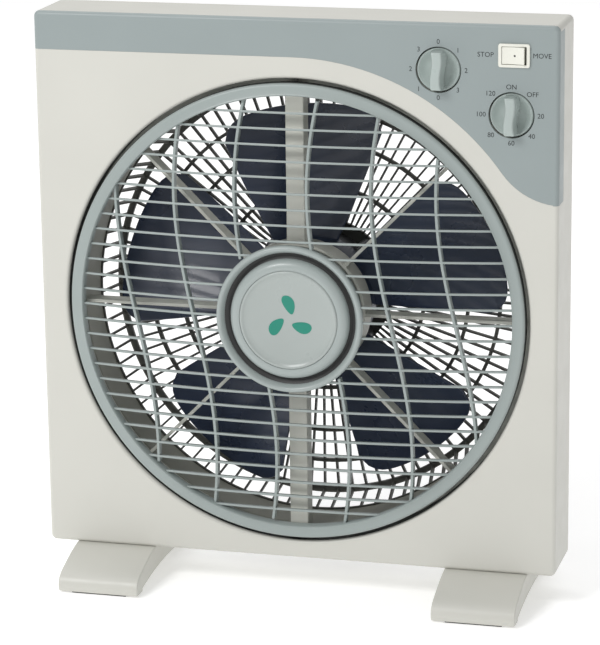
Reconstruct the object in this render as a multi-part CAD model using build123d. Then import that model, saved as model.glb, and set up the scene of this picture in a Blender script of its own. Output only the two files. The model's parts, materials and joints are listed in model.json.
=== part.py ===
"""Box fan with a rotating louvre grille, in millimetres.

The origin is on the floor, under the middle of the housing.  +Z is up and the
air leaves towards -Y, so +X is on the right of somebody facing the fan.
"""
from build123d import *
from math import asin, cos, degrees, pi, radians, sin, sqrt
import os

# Housing
HOUSING_W = 370.0
HOUSING_H = 386.0
HOUSING_D = 54.0
WALL = 3.0
CORNER_R = 4.0
EDGE_R = 3.0
BACK_EDGE_R = 2.5
FOOT_H = 24.0
FRONT = -HOUSING_D / 2
BACK = HOUSING_D / 2
BOTTOM = FOOT_H
TOP = BOTTOM + HOUSING_H
FAN_Z = BOTTOM + 178.8

# Air path
OPENING_R = 165.8
COLLAR_DEPTH = 15.0
DUCT_R = 159.0
DUCT_WALL = 2.2
DUCT_START = FRONT + 19.6
PANEL_FACE = BACK - 1.5
PANEL_T = 2.5

# Control fascia
FASCIA_T = 1.6
FASCIA_SWEEP_R = 180.5
FASCIA_EDGE_Z = FAN_Z + FASCIA_SWEEP_R
FASCIA_TAIL_R = 51.0
FASCIA_TAIL_Z = 287.8
FASCIA_WRAP = 18.0
SPEED_X, SPEED_Z = 102.2, BOTTOM + 354.1
TIMER_X, TIMER_Z = 152.3, BOTTOM + 324.9
ROCKER_X, ROCKER_Z = 154.1, BOTTOM + 365.5
KNOB_WELL_R = 15.7
KNOB_WELL_DEPTH = 10.0
KNOB_R = 14.9
KNOB_SHAFT_R = 3.0

# Rotating louvre grille
RING_R = 163.0
RING_IN_R = 154.0
RING_FRONT = FRONT - 3.0
RING_DEPTH = 8.0
DOME_R = 760.0
DOME_APEX = FRONT - 16.3
DOME_DEPTH = 6.0
SLAT_PITCH = 10.95
SLAT_COUNT = 27
SLAT_T = 1.6
SLAT_TILT = 12.0
RIB_X = (26.0, 70.5, 115.0)
RIB_T = 2.0
RIB_SWAY = 14.0
RIB_WAVE = 190.0
GRILLE_HUB_R = 50.0
CAP_R = 52.3
CAP_SEAT = FRONT - 10.0
CAP_FRONT = FRONT - 17.5
DISC_R = 35.0

# Front spider that carries the grille's motor
SPIDER_FRONT = FRONT + 7.0
SPIDER_DEPTH = 12.0
SPIDER_HUB_R = 49.0
SPIDER_ARM_T = 2.4
SPIDER_BAR_W = 15.0
SPIDER_FLANGE_R = 171.0
SPIDER_BACK = FRONT + 28.0
FLANGE_FACE = FRONT + COLLAR_DEPTH
FLANGE_T = 2.5

# Fan blade
BLADE_COUNT = 5
BLADE_TIP_R = 139.0
BLADE_HUB_R = 45.0
BLADE_MID = FRONT + 44.0
BLADE_T = 2.0
BLADE_FIRST = 23.0

# Main motor
SHAFT_R = 4.0
STATOR_R = 42.0
SEAT_FACE = FRONT + 80.0
BELL_R = 38.0

# Rear guard
GUARD_RIBS = 90
GUARD_RIB_T = 1.8
GUARD_BACK = FRONT + 82.0
GUARD_RIB_DEPTH = 4.0
GUARD_RINGS = ((75.0, 2.4), (107.0, 2.4), (130.0, 2.4), (152.0, 4.6))
GUARD_FLANGE_R = 168.0
LEAD_Y = FRONT + 36.5

# Cord gland
GLAND_R = 6.0
GLAND_X = 150.0
GLAND_Z = BOTTOM + 22.0

# Feet
FOOT_W = 59.0
FOOT_X = 135.5
FOOT_REACH = 44.0
FOOT_GROUND = 1.0
FOOT_ARCH = 8.0
PAD_L = 12.0


def box(x0, x1, y0, y1, z0, z1):
    """A block given by its limits."""
    middle = Pos((x0 + x1) / 2, (y0 + y1) / 2, (z0 + z1) / 2)
    return middle * Box(x1 - x0, y1 - y0, z1 - z0)


def rod_y(radius, y0, y1, x=0.0, z=FAN_Z):
    """A round rod along Y."""
    base = (Align.CENTER, Align.CENTER, Align.MIN)
    return Pos(x, y0, z) * Rot(-90, 0, 0) * Cylinder(radius, y1 - y0, align=base)


def rod_z(radius, z0, z1, x, y):
    """A round rod along Z."""
    base = (Align.CENTER, Align.CENTER, Align.MIN)
    return Pos(x, y, z0) * Cylinder(radius, z1 - z0, align=base)


def tube_y(outer, inner, y0, y1, x=0.0, z=FAN_Z):
    """A round tube along Y."""
    return rod_y(outer, y0, y1, x, z) - rod_y(inner, y0 - 1, y1 + 1, x, z)


def turned(points):
    """A solid of revolution about the fan axis from (radius, y) corners."""
    outline = make_face(Polyline(*points, close=True))
    return Pos(0, 0, FAN_Z) * revolve(outline, Axis.Y)


def prism_y(face, y0, y1):
    """A flat (x, z) outline carried along Y."""
    return extrude(Plane.XZ.offset(-y1) * face, y1 - y0)


def about_fan(part, angle):
    """Turn a part about the fan axis, anticlockwise seen from the front."""
    return Pos(0, 0, FAN_Z) * Rot(0, -angle, 0) * Pos(0, 0, -FAN_Z) * part


def polar(radius, angle, centre=(0.0, FAN_Z)):
    """The (x, z) place at a radius and angle from a centre."""
    turn = radians(angle)
    return (centre[0] + radius * cos(turn), centre[1] + radius * sin(turn))


def screw_y(x, z, head_y, length, head_r=3.6, shank_r=1.8, towards=-1):
    """A pan-head screw along Y whose head rests on head_y."""
    head = rod_y(head_r, min(head_y, head_y - towards * 2.2), max(head_y, head_y - towards * 2.2), x, z)
    tip = head_y + towards * length
    shank = rod_y(shank_r, min(head_y, tip), max(head_y, tip), x, z)
    slot = box(x - head_r, x + head_r, -0.6, 0.6, z - 0.5, z + 0.5)
    slot = Pos(0, head_y - towards * 2.0, 0) * slot
    return head + shank - slot


def housing_block():
    """The solid outer shape of the housing, with its rounded edges."""
    block = box(-HOUSING_W / 2, HOUSING_W / 2, FRONT, BACK, BOTTOM, TOP)
    block = fillet(block.edges().filter_by(Axis.Y), CORNER_R)
    block = fillet(block.faces().sort_by(Axis.Y)[0].edges(), EDGE_R)
    return fillet(block.faces().sort_by(Axis.Y)[-1].edges(), BACK_EDGE_R)


def fascia_face():
    """The fascia's outline: a band that sweeps round the opening and ends on the right."""
    reach = FASCIA_SWEEP_R + FASCIA_TAIL_R
    turn = degrees(asin((FASCIA_TAIL_Z + FASCIA_TAIL_R - FAN_Z) / reach))
    tail = polar(reach, turn)
    side = HOUSING_W
    start = (-side, FASCIA_EDGE_Z)
    top_of_sweep = (0.0, FASCIA_EDGE_Z)
    joint = polar(FASCIA_SWEEP_R, turn)
    end_of_tail = (tail[0], FASCIA_TAIL_Z)
    lines = Line(start, top_of_sweep)
    lines += ThreePointArc(top_of_sweep, polar(FASCIA_SWEEP_R, (90 + turn) / 2), joint)
    lines += ThreePointArc(joint, polar(FASCIA_TAIL_R, (180 + turn + 270) / 2, tail), end_of_tail)
    lines += Polyline(end_of_tail, (side, FASCIA_TAIL_Z), (side, TOP + 9), (-side, TOP + 9), start)
    return make_face(lines)


def fascia_skin():
    """The fascia's skin: its face, the rounded edge above it and a return along the right side."""
    core = box(-HOUSING_W / 2 + FASCIA_T, HOUSING_W / 2 - FASCIA_T, FRONT + FASCIA_T, BACK + 1,
               BOTTOM - 1, TOP - FASCIA_T)
    core = fillet(core.edges().filter_by(Axis.Y), CORNER_R - FASCIA_T)
    core = fillet(core.faces().sort_by(Axis.Y)[0].edges(), EDGE_R - FASCIA_T)
    zone = prism_y(fascia_face(), FRONT - 1, FRONT + EDGE_R)
    side = HOUSING_W / 2
    zone += box(side - CORNER_R, side + 1, FRONT - 1, FRONT + FASCIA_WRAP, FASCIA_TAIL_Z, TOP - CORNER_R)
    return (housing_block() - core) & zone


def spider_screw_places():
    """Six places round the flange of the spider."""
    return [polar(SPIDER_FLANGE_R - 2.5, 15 + 60 * i) for i in range(6)]


def panel_screw_places():
    """Eight places round the edge of the rear panel."""
    side = HOUSING_W / 2 - 12
    high = TOP - 12
    low = BOTTOM + 12
    corners = [(-side, low), (side, low), (-side, high), (side, high)]
    return corners + [(-60.0, low), (60.0, low), (-60.0, high), (60.0, high)]


def front_cover():
    """The moulded housing: face, four walls, opening collar, knob wells and screw posts."""
    cover = housing_block()
    inner = box(-HOUSING_W / 2 + WALL, HOUSING_W / 2 - WALL, FRONT + WALL, BACK + 1,
                BOTTOM + WALL, TOP - WALL)
    cover -= inner
    cover += rod_y(OPENING_R + DUCT_WALL, FRONT + 1, FRONT + COLLAR_DEPTH)
    for x, z in spider_screw_places():
        cover += rod_y(3.4, FRONT + 1, FRONT + COLLAR_DEPTH, x, z)
        cover -= rod_y(1.3, FRONT + 5, FRONT + COLLAR_DEPTH + 1, x, z)
    cover -= rod_y(OPENING_R, FRONT - 1, FRONT + COLLAR_DEPTH + 1)
    for x, z in ((SPEED_X, SPEED_Z), (TIMER_X, TIMER_Z)):
        cover += rod_y(KNOB_WELL_R + 1.6, FRONT + 1, FRONT + KNOB_WELL_DEPTH + 1.6, x, z)
        cover -= rod_y(KNOB_WELL_R, FRONT - 1, FRONT + KNOB_WELL_DEPTH, x, z)
        cover -= rod_y(KNOB_SHAFT_R + 1.5, FRONT, FRONT + KNOB_WELL_DEPTH + 3, x, z)
    cover -= fascia_skin()
    cover -= rocker_cutout()
    for x, z in panel_screw_places():
        cover += rod_y(5.0, FRONT + 2, PANEL_FACE - PANEL_T, x, z)
        cover -= rod_y(1.8, PANEL_FACE - PANEL_T - 12, PANEL_FACE, x, z)
    for x, z in foot_screw_places():
        cover -= rod_z(2.0, BOTTOM - 1, BOTTOM + WALL + 1, x, z)
    cover -= rod_z(3.5, FAN_Z + OPENING_R - 4, FAN_Z + OPENING_R + 6, 0, FRONT + 12)
    return cover


def rocker_cutout():
    """The slot that the switch body passes through."""
    return box(ROCKER_X - 9.6, ROCKER_X + 9.6, FRONT - 1, FRONT + 9, ROCKER_Z - 6.9, ROCKER_Z + 6.9)


def control_panel():
    """The grey fascia, flush in the housing's face and right side."""
    panel = fascia_skin()
    for x, z in ((SPEED_X, SPEED_Z), (TIMER_X, TIMER_Z)):
        panel -= rod_y(KNOB_WELL_R, FRONT - 2, FRONT + 5, x, z)
    return panel - rocker_cutout()


def rear_panel():
    """The flat back with the round duct that surrounds the blade."""
    gap = 0.2
    back = PANEL_FACE
    front = PANEL_FACE - PANEL_T
    edge = WALL + gap
    panel = box(-HOUSING_W / 2 + edge, HOUSING_W / 2 - edge, front, back, BOTTOM + edge, TOP - edge)
    panel += rod_y(DUCT_R + DUCT_WALL, DUCT_START, front + 1)
    panel -= rod_y(DUCT_R, DUCT_START - 1, back + 1)
    for x, z in panel_screw_places():
        panel -= rod_y(2.0, front - 1, back + 1, x, z)
    for x, z in guard_screw_places():
        panel += rod_y(3.5, front - 8, front + 1, x, z)
        panel -= rod_y(1.5, front - 7, back + 1, x, z)
    panel -= rod_z(3.5, FAN_Z + DUCT_R - 4, FAN_Z + DUCT_R + 6, 0, LEAD_Y)
    panel -= rod_y(GLAND_R, front - 1, back + 1, GLAND_X, GLAND_Z)
    return panel


def guard_screw_places():
    """Six places round the guard's flange."""
    return [polar(GUARD_FLANGE_R - 3.0, 30 + 60 * i) for i in range(6)]


def cord_gland():
    """The grommet in the rear panel where the mains cord goes in."""
    front = PANEL_FACE - PANEL_T
    gland = rod_y(GLAND_R, front - 2, PANEL_FACE + 3, GLAND_X, GLAND_Z)
    gland += rod_y(GLAND_R + 2, PANEL_FACE, PANEL_FACE + 3, GLAND_X, GLAND_Z)
    gland += rod_y(GLAND_R + 1.5, front - 4, front, GLAND_X, GLAND_Z)
    return gland - rod_y(3.6, front - 5, PANEL_FACE + 4, GLAND_X, GLAND_Z)


def rear_guard():
    """The basket behind the blade: rings, straight radial ribs and the motor's seat."""
    rim_face = PANEL_FACE
    rib_front = GUARD_BACK - GUARD_RIB_DEPTH
    guard = tube_y(GUARD_FLANGE_R, DUCT_R - 1, rim_face, rim_face + 2.2)
    for radius, width in GUARD_RINGS:
        guard += tube_y(radius + width / 2, radius - width / 2, rib_front, GUARD_BACK)
    guard += tube_y(SPIDER_HUB_R + 2, BELL_R + 1.5, SEAT_FACE, GUARD_BACK + 1)
    outer = GUARD_RINGS[-1][0] + GUARD_RINGS[-1][1] / 2
    corners = [(SPIDER_HUB_R, SEAT_FACE), (SPIDER_HUB_R + 4, SEAT_FACE), (SPIDER_HUB_R + 10, rib_front),
               (outer - 3, rib_front), (DUCT_R - 1, rim_face), (DUCT_R + 2, rim_face),
               (outer, GUARD_BACK - 0.6), (outer - 1, GUARD_BACK), (SPIDER_HUB_R, GUARD_BACK)]
    flat = make_face(Polyline(*corners, close=True))
    rib = Pos(0, 0, FAN_Z - GUARD_RIB_T / 2) * extrude(flat, GUARD_RIB_T)
    guard = guard + [about_fan(rib, 360 / GUARD_RIBS * (i + 0.5)) for i in range(GUARD_RIBS)]
    for x, z in guard_screw_places():
        guard -= rod_y(2.0, rim_face - 1, rim_face + 4, x, z)
    for x, z in motor_screw_places():
        guard -= rod_y(1.7, SEAT_FACE - 1, GUARD_BACK + 2, x, z)
    return guard


def motor_screw_places():
    """Four places on the motor's lugs."""
    return [polar(45.5, 45 + 90 * i) for i in range(4)]


def motor_cover():
    """The cap over the motor's back."""
    face = GUARD_BACK + 1
    outline = [(46.0, face), (46.0, face + 8), (42.0, face + 14), (0.0, face + 14),
               (0.0, face + 12), (41.0, face + 12), (44.0, face + 7), (44.0, face)]
    cap = turned(outline)
    for i in range(8):
        cap -= about_fan(box(14, 34, face + 11, face + 15, FAN_Z - 1.3, FAN_Z + 1.3), 45 * i)
    return cap


def stator_core():
    """The laminated core, with its four lugs."""
    core = rod_y(STATOR_R, SEAT_FACE - 18, SEAT_FACE)
    for x, z in motor_screw_places():
        core += rod_y(5.0, SEAT_FACE - 18, SEAT_FACE, x, z)
    for x, z in motor_screw_places():
        core -= rod_y(1.9, SEAT_FACE - 19, SEAT_FACE + 1, x, z)
    return core - rod_y(24.5, SEAT_FACE - 19, SEAT_FACE + 1)


def stator_windings():
    """The two end turns of the copper windings."""
    ends = []
    for y0, y1 in ((SEAT_FACE - 24, SEAT_FACE - 18), (SEAT_FACE, SEAT_FACE + 6)):
        ends.append(tube_y(34, 27, y0, y1))
    return Compound(ends)


def motor_bell(front):
    """A pressed end bell, a cup with a seat for its bush."""
    if front:
        end, rim, inside = SEAT_FACE - 30, SEAT_FACE - 18, SEAT_FACE - 28
    else:
        end, rim, inside = SEAT_FACE + 12, SEAT_FACE, SEAT_FACE + 10
    cup = rod_y(BELL_R, min(end, rim), max(end, rim))
    cup -= rod_y(BELL_R - 2, min(inside, rim), max(inside, rim))
    return cup - rod_y(8, end - 3, end + 3)


def motor_bush(front):
    """A flanged bush that the shaft runs in."""
    end = SEAT_FACE - 30 if front else SEAT_FACE + 10
    bush = rod_y(8.0, end, end + 2)
    inner = end + 2 if front else end - 5
    bush += rod_y(7.0, inner, inner + 5)
    return bush - rod_y(SHAFT_R + 0.05, end - 9, end + 9)


def rotor():
    """The rotor, a cage on the shaft."""
    return tube_y(24.0, SHAFT_R, SEAT_FACE - 18, SEAT_FACE)


def motor_shaft():
    """The main shaft, from the blade's nut to the rear bush."""
    return rod_y(SHAFT_R, FRONT + 33, SEAT_FACE + 11.5)


def blade_sheet():
    """One twisted sheet along +X, thicker and steeper at its root."""
    sections = []
    for radius, chord, pitch in ((BLADE_HUB_R - 2.2, 52.0, 28.0), (BLADE_TIP_R + 3, 134.0, 16.0)):
        plane = Plane((radius, BLADE_MID, FAN_Z), x_dir=(0, 0, 1), z_dir=(1, 0, 0))
        sections.append(plane * Rot(0, 0, -pitch) * Rectangle(chord, BLADE_T))
    return loft(sections, ruled=True)


def blade_outline():
    """The blade seen from the front: narrow at the hub, broad and round at the tip."""
    root = BLADE_HUB_R - 3
    half_root = 27.0
    half_tip = 25.5
    corner = 14.0
    lines = Line(polar(root, -half_root), polar(BLADE_TIP_R, -half_tip))
    tip_low, tip_high = polar(BLADE_TIP_R, -half_tip), polar(BLADE_TIP_R, half_tip)
    lines += ThreePointArc(tip_low, polar(BLADE_TIP_R, 0), tip_high)
    lines += Line(tip_high, polar(root, half_root))
    lines += ThreePointArc(polar(root, half_root), polar(root, 0), polar(root, -half_root))
    face = make_face(lines)
    tips = face.vertices().sort_by(Axis.X)[-2:]
    return fillet(tips, corner)


def fan_blade():
    """Five broad blades on a cup-shaped hub."""
    front = FRONT + 32
    hub = rod_y(BLADE_HUB_R, front, FRONT + 57)
    hub -= rod_y(BLADE_HUB_R - 2.5, front + 7, FRONT + 58)
    hub -= rod_y(14, front - 1, front + 4)
    hub += rod_y(9, front + 4, front + 16)
    hub -= rod_y(SHAFT_R, front - 1, FRONT + 61)
    blade = blade_sheet() & prism_y(blade_outline(), BLADE_MID - 30, BLADE_MID + 30)
    blades = [about_fan(blade, BLADE_FIRST + 360 / BLADE_COUNT * i) for i in range(BLADE_COUNT)]
    wheel = (hub + blades) - rod_y(BLADE_HUB_R - 2.5, front + 7, FRONT + 61)
    return wheel + tube_y(9, SHAFT_R, front + 4, front + 16)


def blade_nut():
    """The nut that holds the blade on its shaft."""
    nut = rod_y(10.0, FRONT + 31.5, FRONT + 36)
    for i in range(6):
        nut -= about_fan(rod_y(2.0, FRONT + 31, FRONT + 34, 11.0, FAN_Z), 60 * i)
    return nut - rod_y(SHAFT_R, FRONT + 33, FRONT + 37)


def front_spider():
    """The fixed cross behind the grille: a round cup, two box arms and six thin arms."""
    arm_back = SPIDER_FRONT + SPIDER_DEPTH
    spider = rod_y(SPIDER_HUB_R, SPIDER_FRONT - 1, SPIDER_BACK)
    for angle in (0, 45, 135, 180, 225, 315):
        half = SPIDER_ARM_T / 2
        arm = box(0, OPENING_R - 5, SPIDER_FRONT, arm_back, FAN_Z - half, FAN_Z + half)
        spider += about_fan(arm, angle)
    for angle in (90, 270):
        half = SPIDER_BAR_W / 2
        bar = box(0, OPENING_R - 5, SPIDER_FRONT - 1, arm_back, FAN_Z - half, FAN_Z + half)
        channel = box(SPIDER_HUB_R + 3, OPENING_R, SPIDER_FRONT + 1, arm_back + 1, FAN_Z - half + 2.5,
                      FAN_Z + half - 2.5)
        spider += about_fan(bar - channel, angle)
    spider += tube_y(SPIDER_FLANGE_R, DUCT_R, FLANGE_FACE, FLANGE_FACE + FLANGE_T)
    spider -= rod_y(SPIDER_HUB_R - 2.2, SPIDER_FRONT - 2, SPIDER_BACK - 2)
    for x, z in spider_screw_places():
        spider -= rod_y(1.5, FLANGE_FACE - 1, FLANGE_FACE + FLANGE_T + 1, x, z)
    for x in (-29.0, 29.0):
        spider += rod_y(4.0, SPIDER_BACK - 5, SPIDER_BACK - 2, x, FAN_Z)
        spider -= rod_y(1.6, SPIDER_BACK - 6, SPIDER_BACK + 1, x, FAN_Z)
    return spider - rod_z(2.8, FAN_Z + 40, FAN_Z + SPIDER_HUB_R + 5, 0, FRONT + 12)


def sync_motor():
    """The flat geared motor that turns the grille."""
    back = SPIDER_BACK - 5
    can = rod_y(25.0, back - 14, back)
    can += box(-34, 34, back - 1.5, back, FAN_Z - 5, FAN_Z + 5)
    can += rod_y(6.0, back - 17, back - 14)
    for x in (-29.0, 29.0):
        can -= rod_y(1.8, back - 2, back + 1, x, FAN_Z)
    return can - rod_y(3.05, back - 18, back - 6)


def grille_drive_shaft():
    """The slow shaft between the geared motor and the grille."""
    return rod_y(3.0, FRONT - 6, SPIDER_BACK - 12)


def dome_shell():
    """The domed layer that the slats and ribs of the grille lie in."""
    edge = RING_IN_R + 1.5

    def height(radius):
        return DOME_APEX + DOME_R - sqrt(DOME_R ** 2 - radius ** 2)

    half = edge / 2
    deep = DOME_DEPTH
    lines = ThreePointArc((0, height(0)), (half, height(half)), (edge, height(edge)))
    lines += Line((edge, height(edge)), (edge, height(edge) + deep))
    lines += ThreePointArc((edge, height(edge) + deep), (half, height(half) + deep), (0, height(0) + deep))
    lines += Line((0, height(0) + deep), (0, height(0)))
    return Pos(0, 0, FAN_Z) * revolve(make_face(lines), Axis.Y)


def louvre_slats(shell):
    """The level slats, each tipped so that its front edge is the higher."""
    slats = []
    for i in range(SLAT_COUNT):
        z = (i - (SLAT_COUNT - 1) / 2) * SLAT_PITCH
        place = Pos(0, DOME_APEX + 12, FAN_Z + z) * Rot(-SLAT_TILT, 0, 0)
        blank = place * Box(2 * OPENING_R, 60, SLAT_T)
        slats.append(shell & blank)
    return slats


def louvre_ribs(shell):
    """Six swaying upright ribs in short straight runs, alike after half a turn."""
    ribs = []
    for middle in [-x for x in RIB_X] + list(RIB_X):
        edges = []
        for side in (-RIB_T / 2, RIB_T / 2):
            points = []
            for step in range(-8, 9):
                z = step * RING_R / 8
                points.append((middle - RIB_SWAY * sin(pi * z / RIB_WAVE) + side, FAN_Z + z))
            edges.append(points)
        left, right = edges
        outline = make_face(Polyline(*left, *right[::-1], close=True))
        ribs.append(shell & prism_y(outline, DOME_APEX - 5, FRONT + 15))
    return ribs


def louvre_grille():
    """The rotating grille: channel ring, slats, ribs and hub plate."""
    back = RING_FRONT + RING_DEPTH
    ring = turned([(RING_IN_R + 1.5, RING_FRONT), (RING_R - 2, RING_FRONT), (RING_R, RING_FRONT + 2),
                   (RING_R, back), (RING_R - 2, back), (RING_R - 2, RING_FRONT + 3),
                   (RING_IN_R + 2.5, RING_FRONT + 3), (RING_IN_R + 2.5, back), (RING_IN_R, back),
                   (RING_IN_R, RING_FRONT + 1.5)])
    shell = dome_shell() - rod_y(GRILLE_HUB_R - 1, DOME_APEX - 1, FRONT + 5)
    plate = FRONT - 6
    hub = tube_y(GRILLE_HUB_R, GRILLE_HUB_R - 2, CAP_SEAT, FRONT - 4)
    hub += tube_y(GRILLE_HUB_R, 3.0, plate, plate + 2)
    hub += tube_y(8.0, 3.0, plate, plate + 6)
    grille = ring + hub + louvre_slats(shell) + louvre_ribs(shell)
    grille -= rod_y(CAP_R, DOME_APEX - 5, CAP_SEAT)
    return grille.solids().sort_by(SortBy.VOLUME)[-1]


def hub_cap():
    """The round cap over the grille's hub: rim, groove and raised middle."""
    front = CAP_FRONT
    rim = [(CAP_R - 1.5, CAP_SEAT), (CAP_R, CAP_SEAT - 2), (CAP_R - 0.6, front + 1.4),
           (CAP_R - 2.4, front + 0.5), (CAP_R - 4.6, front + 1.6)]
    groove = [(CAP_R - 5.4, front + 5.5), (43.5, front + 6.0)]
    middle = [(42.2, front + 1.2), (40.6, front), (DISC_R, front), (DISC_R, front + 2.2)]
    inside = [(40.0, front + 2.2), (41.0, CAP_SEAT), (CAP_R - 4, CAP_SEAT)]
    return turned(rim + groove + middle + inside)


def hub_disc():
    """The round badge plate, blank, in the middle of the cap."""
    face = [(0, CAP_FRONT + 0.8), (DISC_R - 2, CAP_FRONT + 0.2), (DISC_R - 0.8, CAP_FRONT - 0.4)]
    edge = [(DISC_R, CAP_FRONT), (DISC_R, CAP_FRONT + 2.2), (0, CAP_FRONT + 2.2)]
    return turned(face + edge)


def knob(x, z):
    """A dial knob with a raised grip bar and a sleeve for its shaft."""
    face = FRONT + 0.8
    floor = FRONT + KNOB_WELL_DEPTH - 0.6
    body = rod_y(KNOB_R, face, floor, x, z)
    body = fillet(body.edges().sort_by(Axis.Y)[0], 1.0)
    grip = box(x - 4.2, x + 4.2, face - 9.5, face + 1, z - 13.2, z + 13.2)
    grip = fillet(grip.edges().filter_by(Axis.Y), 3.8)
    grip = fillet(grip.faces().sort_by(Axis.Y)[0].edges(), 1.6)
    return body + grip - rod_y(KNOB_SHAFT_R, face, floor + 1, x, z)


def knob_shaft(x, z, depth):
    """The switch spindle that the knob is pushed on to."""
    return rod_y(KNOB_SHAFT_R, FRONT + 0.8, FRONT + depth, x, z)


def speed_switch():
    """The body of the four-way rotary switch, with its terminals."""
    face = FRONT + KNOB_WELL_DEPTH + 1.6
    body = box(SPEED_X - 16, SPEED_X + 16, face, face + 17, SPEED_Z - 14, SPEED_Z + 14)
    for i in range(5):
        x = SPEED_X - 12 + 6 * i
        body += box(x - 1.6, x + 1.6, face + 16, face + 23, SPEED_Z - 0.4, SPEED_Z + 0.4)
    return body - rod_y(KNOB_SHAFT_R + 0.08, face - 1, face + 13, SPEED_X, SPEED_Z)


def timer():
    """The body of the clockwork timer."""
    face = FRONT + KNOB_WELL_DEPTH + 1.6
    body = rod_y(23, face, face + 22, TIMER_X, TIMER_Z)
    body += box(TIMER_X - 7, TIMER_X + 7, face + 21, face + 28, TIMER_Z - 4, TIMER_Z + 4)
    return body - rod_y(KNOB_SHAFT_R + 0.08, face - 1, face + 15, TIMER_X, TIMER_Z)


def switch_body():
    """The rocker switch's bezel and case, with two holes for the rocker's pins."""
    body = box(ROCKER_X - 10.7, ROCKER_X + 10.7, FRONT - 1.4, FRONT, ROCKER_Z - 8, ROCKER_Z + 8)
    body = fillet(body.edges().filter_by(Axis.Y), 1.5)
    body += box(ROCKER_X - 9.5, ROCKER_X + 9.5, FRONT - 0.5, FRONT + 20, ROCKER_Z - 6.8, ROCKER_Z + 6.8)
    body -= box(ROCKER_X - 8.5, ROCKER_X + 8.5, FRONT - 2, FRONT + 9, ROCKER_Z - 6.1, ROCKER_Z + 6.1)
    body -= rod_z(1.05, ROCKER_Z - 6.7, ROCKER_Z + 6.7, ROCKER_X, FRONT + 2.0)
    for x in (ROCKER_X - 5.0, ROCKER_X + 5.0):
        body += box(x - 0.4, x + 0.4, FRONT + 19, FRONT + 27, ROCKER_Z - 2.4, ROCKER_Z + 2.4)
    return body


def rocker():
    """The rocker, stored with its left half pressed in."""
    half = 7.8
    tilt = 7.0
    face = make_face(Polyline((-half, -4.4), (0, -3.4), (half, -4.4), (half - 0.6, 1.0), (0, 3.2),
                              (-half + 0.6, 1.0), close=True))
    key = Pos(0, 0, -5.8) * extrude(face, 11.6)
    key += Cylinder(1.0, 13.2)
    return Pos(ROCKER_X, FRONT + 2.0, ROCKER_Z) * Rot(0, 0, -tilt) * key


def foot_screw_places():
    """Two screws in each foot, as (x, y)."""
    return [(side * FOOT_X, y) for side in (-1, 1) for y in (-15.0, 15.0)]


def foot(side):
    """One foot: a long low shoe, arched underneath, with a blunt toe at each end."""
    toe = HOUSING_D / 2 + FOOT_REACH
    pad = toe - 14
    top = BOTTOM
    lines = Line((-toe + 1, FOOT_GROUND), (-pad, FOOT_GROUND))
    lines += Line((-pad, FOOT_GROUND), (-pad, FOOT_GROUND + 2))
    lines += ThreePointArc((-pad, FOOT_GROUND + 2), (0, FOOT_ARCH), (pad, FOOT_GROUND + 2))
    lines += Line((pad, FOOT_GROUND + 2), (pad, FOOT_GROUND))
    lines += Line((pad, FOOT_GROUND), (toe - 1, FOOT_GROUND))
    lines += ThreePointArc((toe - 1, FOOT_GROUND), (toe - 1.6, 9.5), (toe - 11.5, 15.4))
    lines += ThreePointArc((toe - 11.5, 15.4), (toe - 27, 20.2), (HOUSING_D / 2 - 1, top))
    lines += Line((HOUSING_D / 2 - 1, top), (-HOUSING_D / 2 + 1, top))
    lines += ThreePointArc((-HOUSING_D / 2 + 1, top), (-toe + 27, 20.2), (-toe + 11.5, 15.4))
    lines += ThreePointArc((-toe + 11.5, 15.4), (-toe + 1.6, 9.5), (-toe + 1, FOOT_GROUND))
    middle = side * FOOT_X
    shoe = extrude(Plane.YZ.offset(middle - FOOT_W / 2) * make_face(lines), FOOT_W)
    for x, y in foot_screw_places():
        shoe -= rod_z(2.0, 0, top + 1, x, y)
        shoe -= rod_z(4.2, 0, 12, x, y)
    for end in (-1, 1):
        y = end * (toe - 8)
        shoe -= box(middle - 20, middle + 20, y - PAD_L / 2 + 1, y + PAD_L / 2 - 1, 0, FOOT_GROUND + 0.6)
    return shoe


def foot_pads():
    """Four rubber strips let into the feet."""
    toe = HOUSING_D / 2 + FOOT_REACH
    pads = []
    for side in (-1, 1):
        for end in (-1, 1):
            x = side * FOOT_X
            y = end * (toe - 8)
            pads.append(box(x - 20, x + 20, y - PAD_L / 2 + 1, y + PAD_L / 2 - 1, 0, FOOT_GROUND + 0.6))
    return Compound(pads)


def foot_screws():
    """The four screws up through the feet."""
    screws = []
    for x, y in foot_screw_places():
        screw = rod_z(3.8, 9.6, 12, x, y) + rod_z(1.9, 12, BOTTOM + WALL + 5, x, y)
        screws.append(screw - box(x - 4, x + 4, y - 0.5, y + 0.5, 9, 10.4))
    return Compound(screws)


def panel_screws():
    """The eight screws of the rear panel."""
    return Compound([screw_y(x, z, PANEL_FACE, 10, 3.6, 1.75) for x, z in panel_screw_places()])


def guard_screws():
    """The six screws of the rear guard."""
    return Compound([screw_y(x, z, PANEL_FACE + 2.2, 8, 3.2, 1.45) for x, z in guard_screw_places()])


def motor_screws():
    """The four screws that hold the motor to the guard's seat."""
    face = SEAT_FACE - 18
    return Compound([screw_y(x, z, face, 21, 3.0, 1.65, 1) for x, z in motor_screw_places()])


def sync_screws():
    """The two screws of the geared motor."""
    face = SPIDER_BACK - 6.5
    return Compound([screw_y(x, FAN_Z, face, 6, 3.0, 1.55, 1) for x in (-29.0, 29.0)])


def spider_screws():
    """The six screws of the spider's flange, driven from behind."""
    face = FLANGE_FACE + FLANGE_T
    return Compound([screw_y(x, z, face, 9, 2.2, 1.3) for x, z in spider_screw_places()])


def terminal_block():
    """The row of terminals above the duct."""
    block = box(-22, 22, FRONT + 30, FRONT + 45, TOP - WALL - 18, TOP - WALL)
    for i in range(4):
        block -= rod_y(3.0, FRONT + 29, FRONT + 35, -15 + 10 * i, TOP - WALL - 9)
    return block


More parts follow.
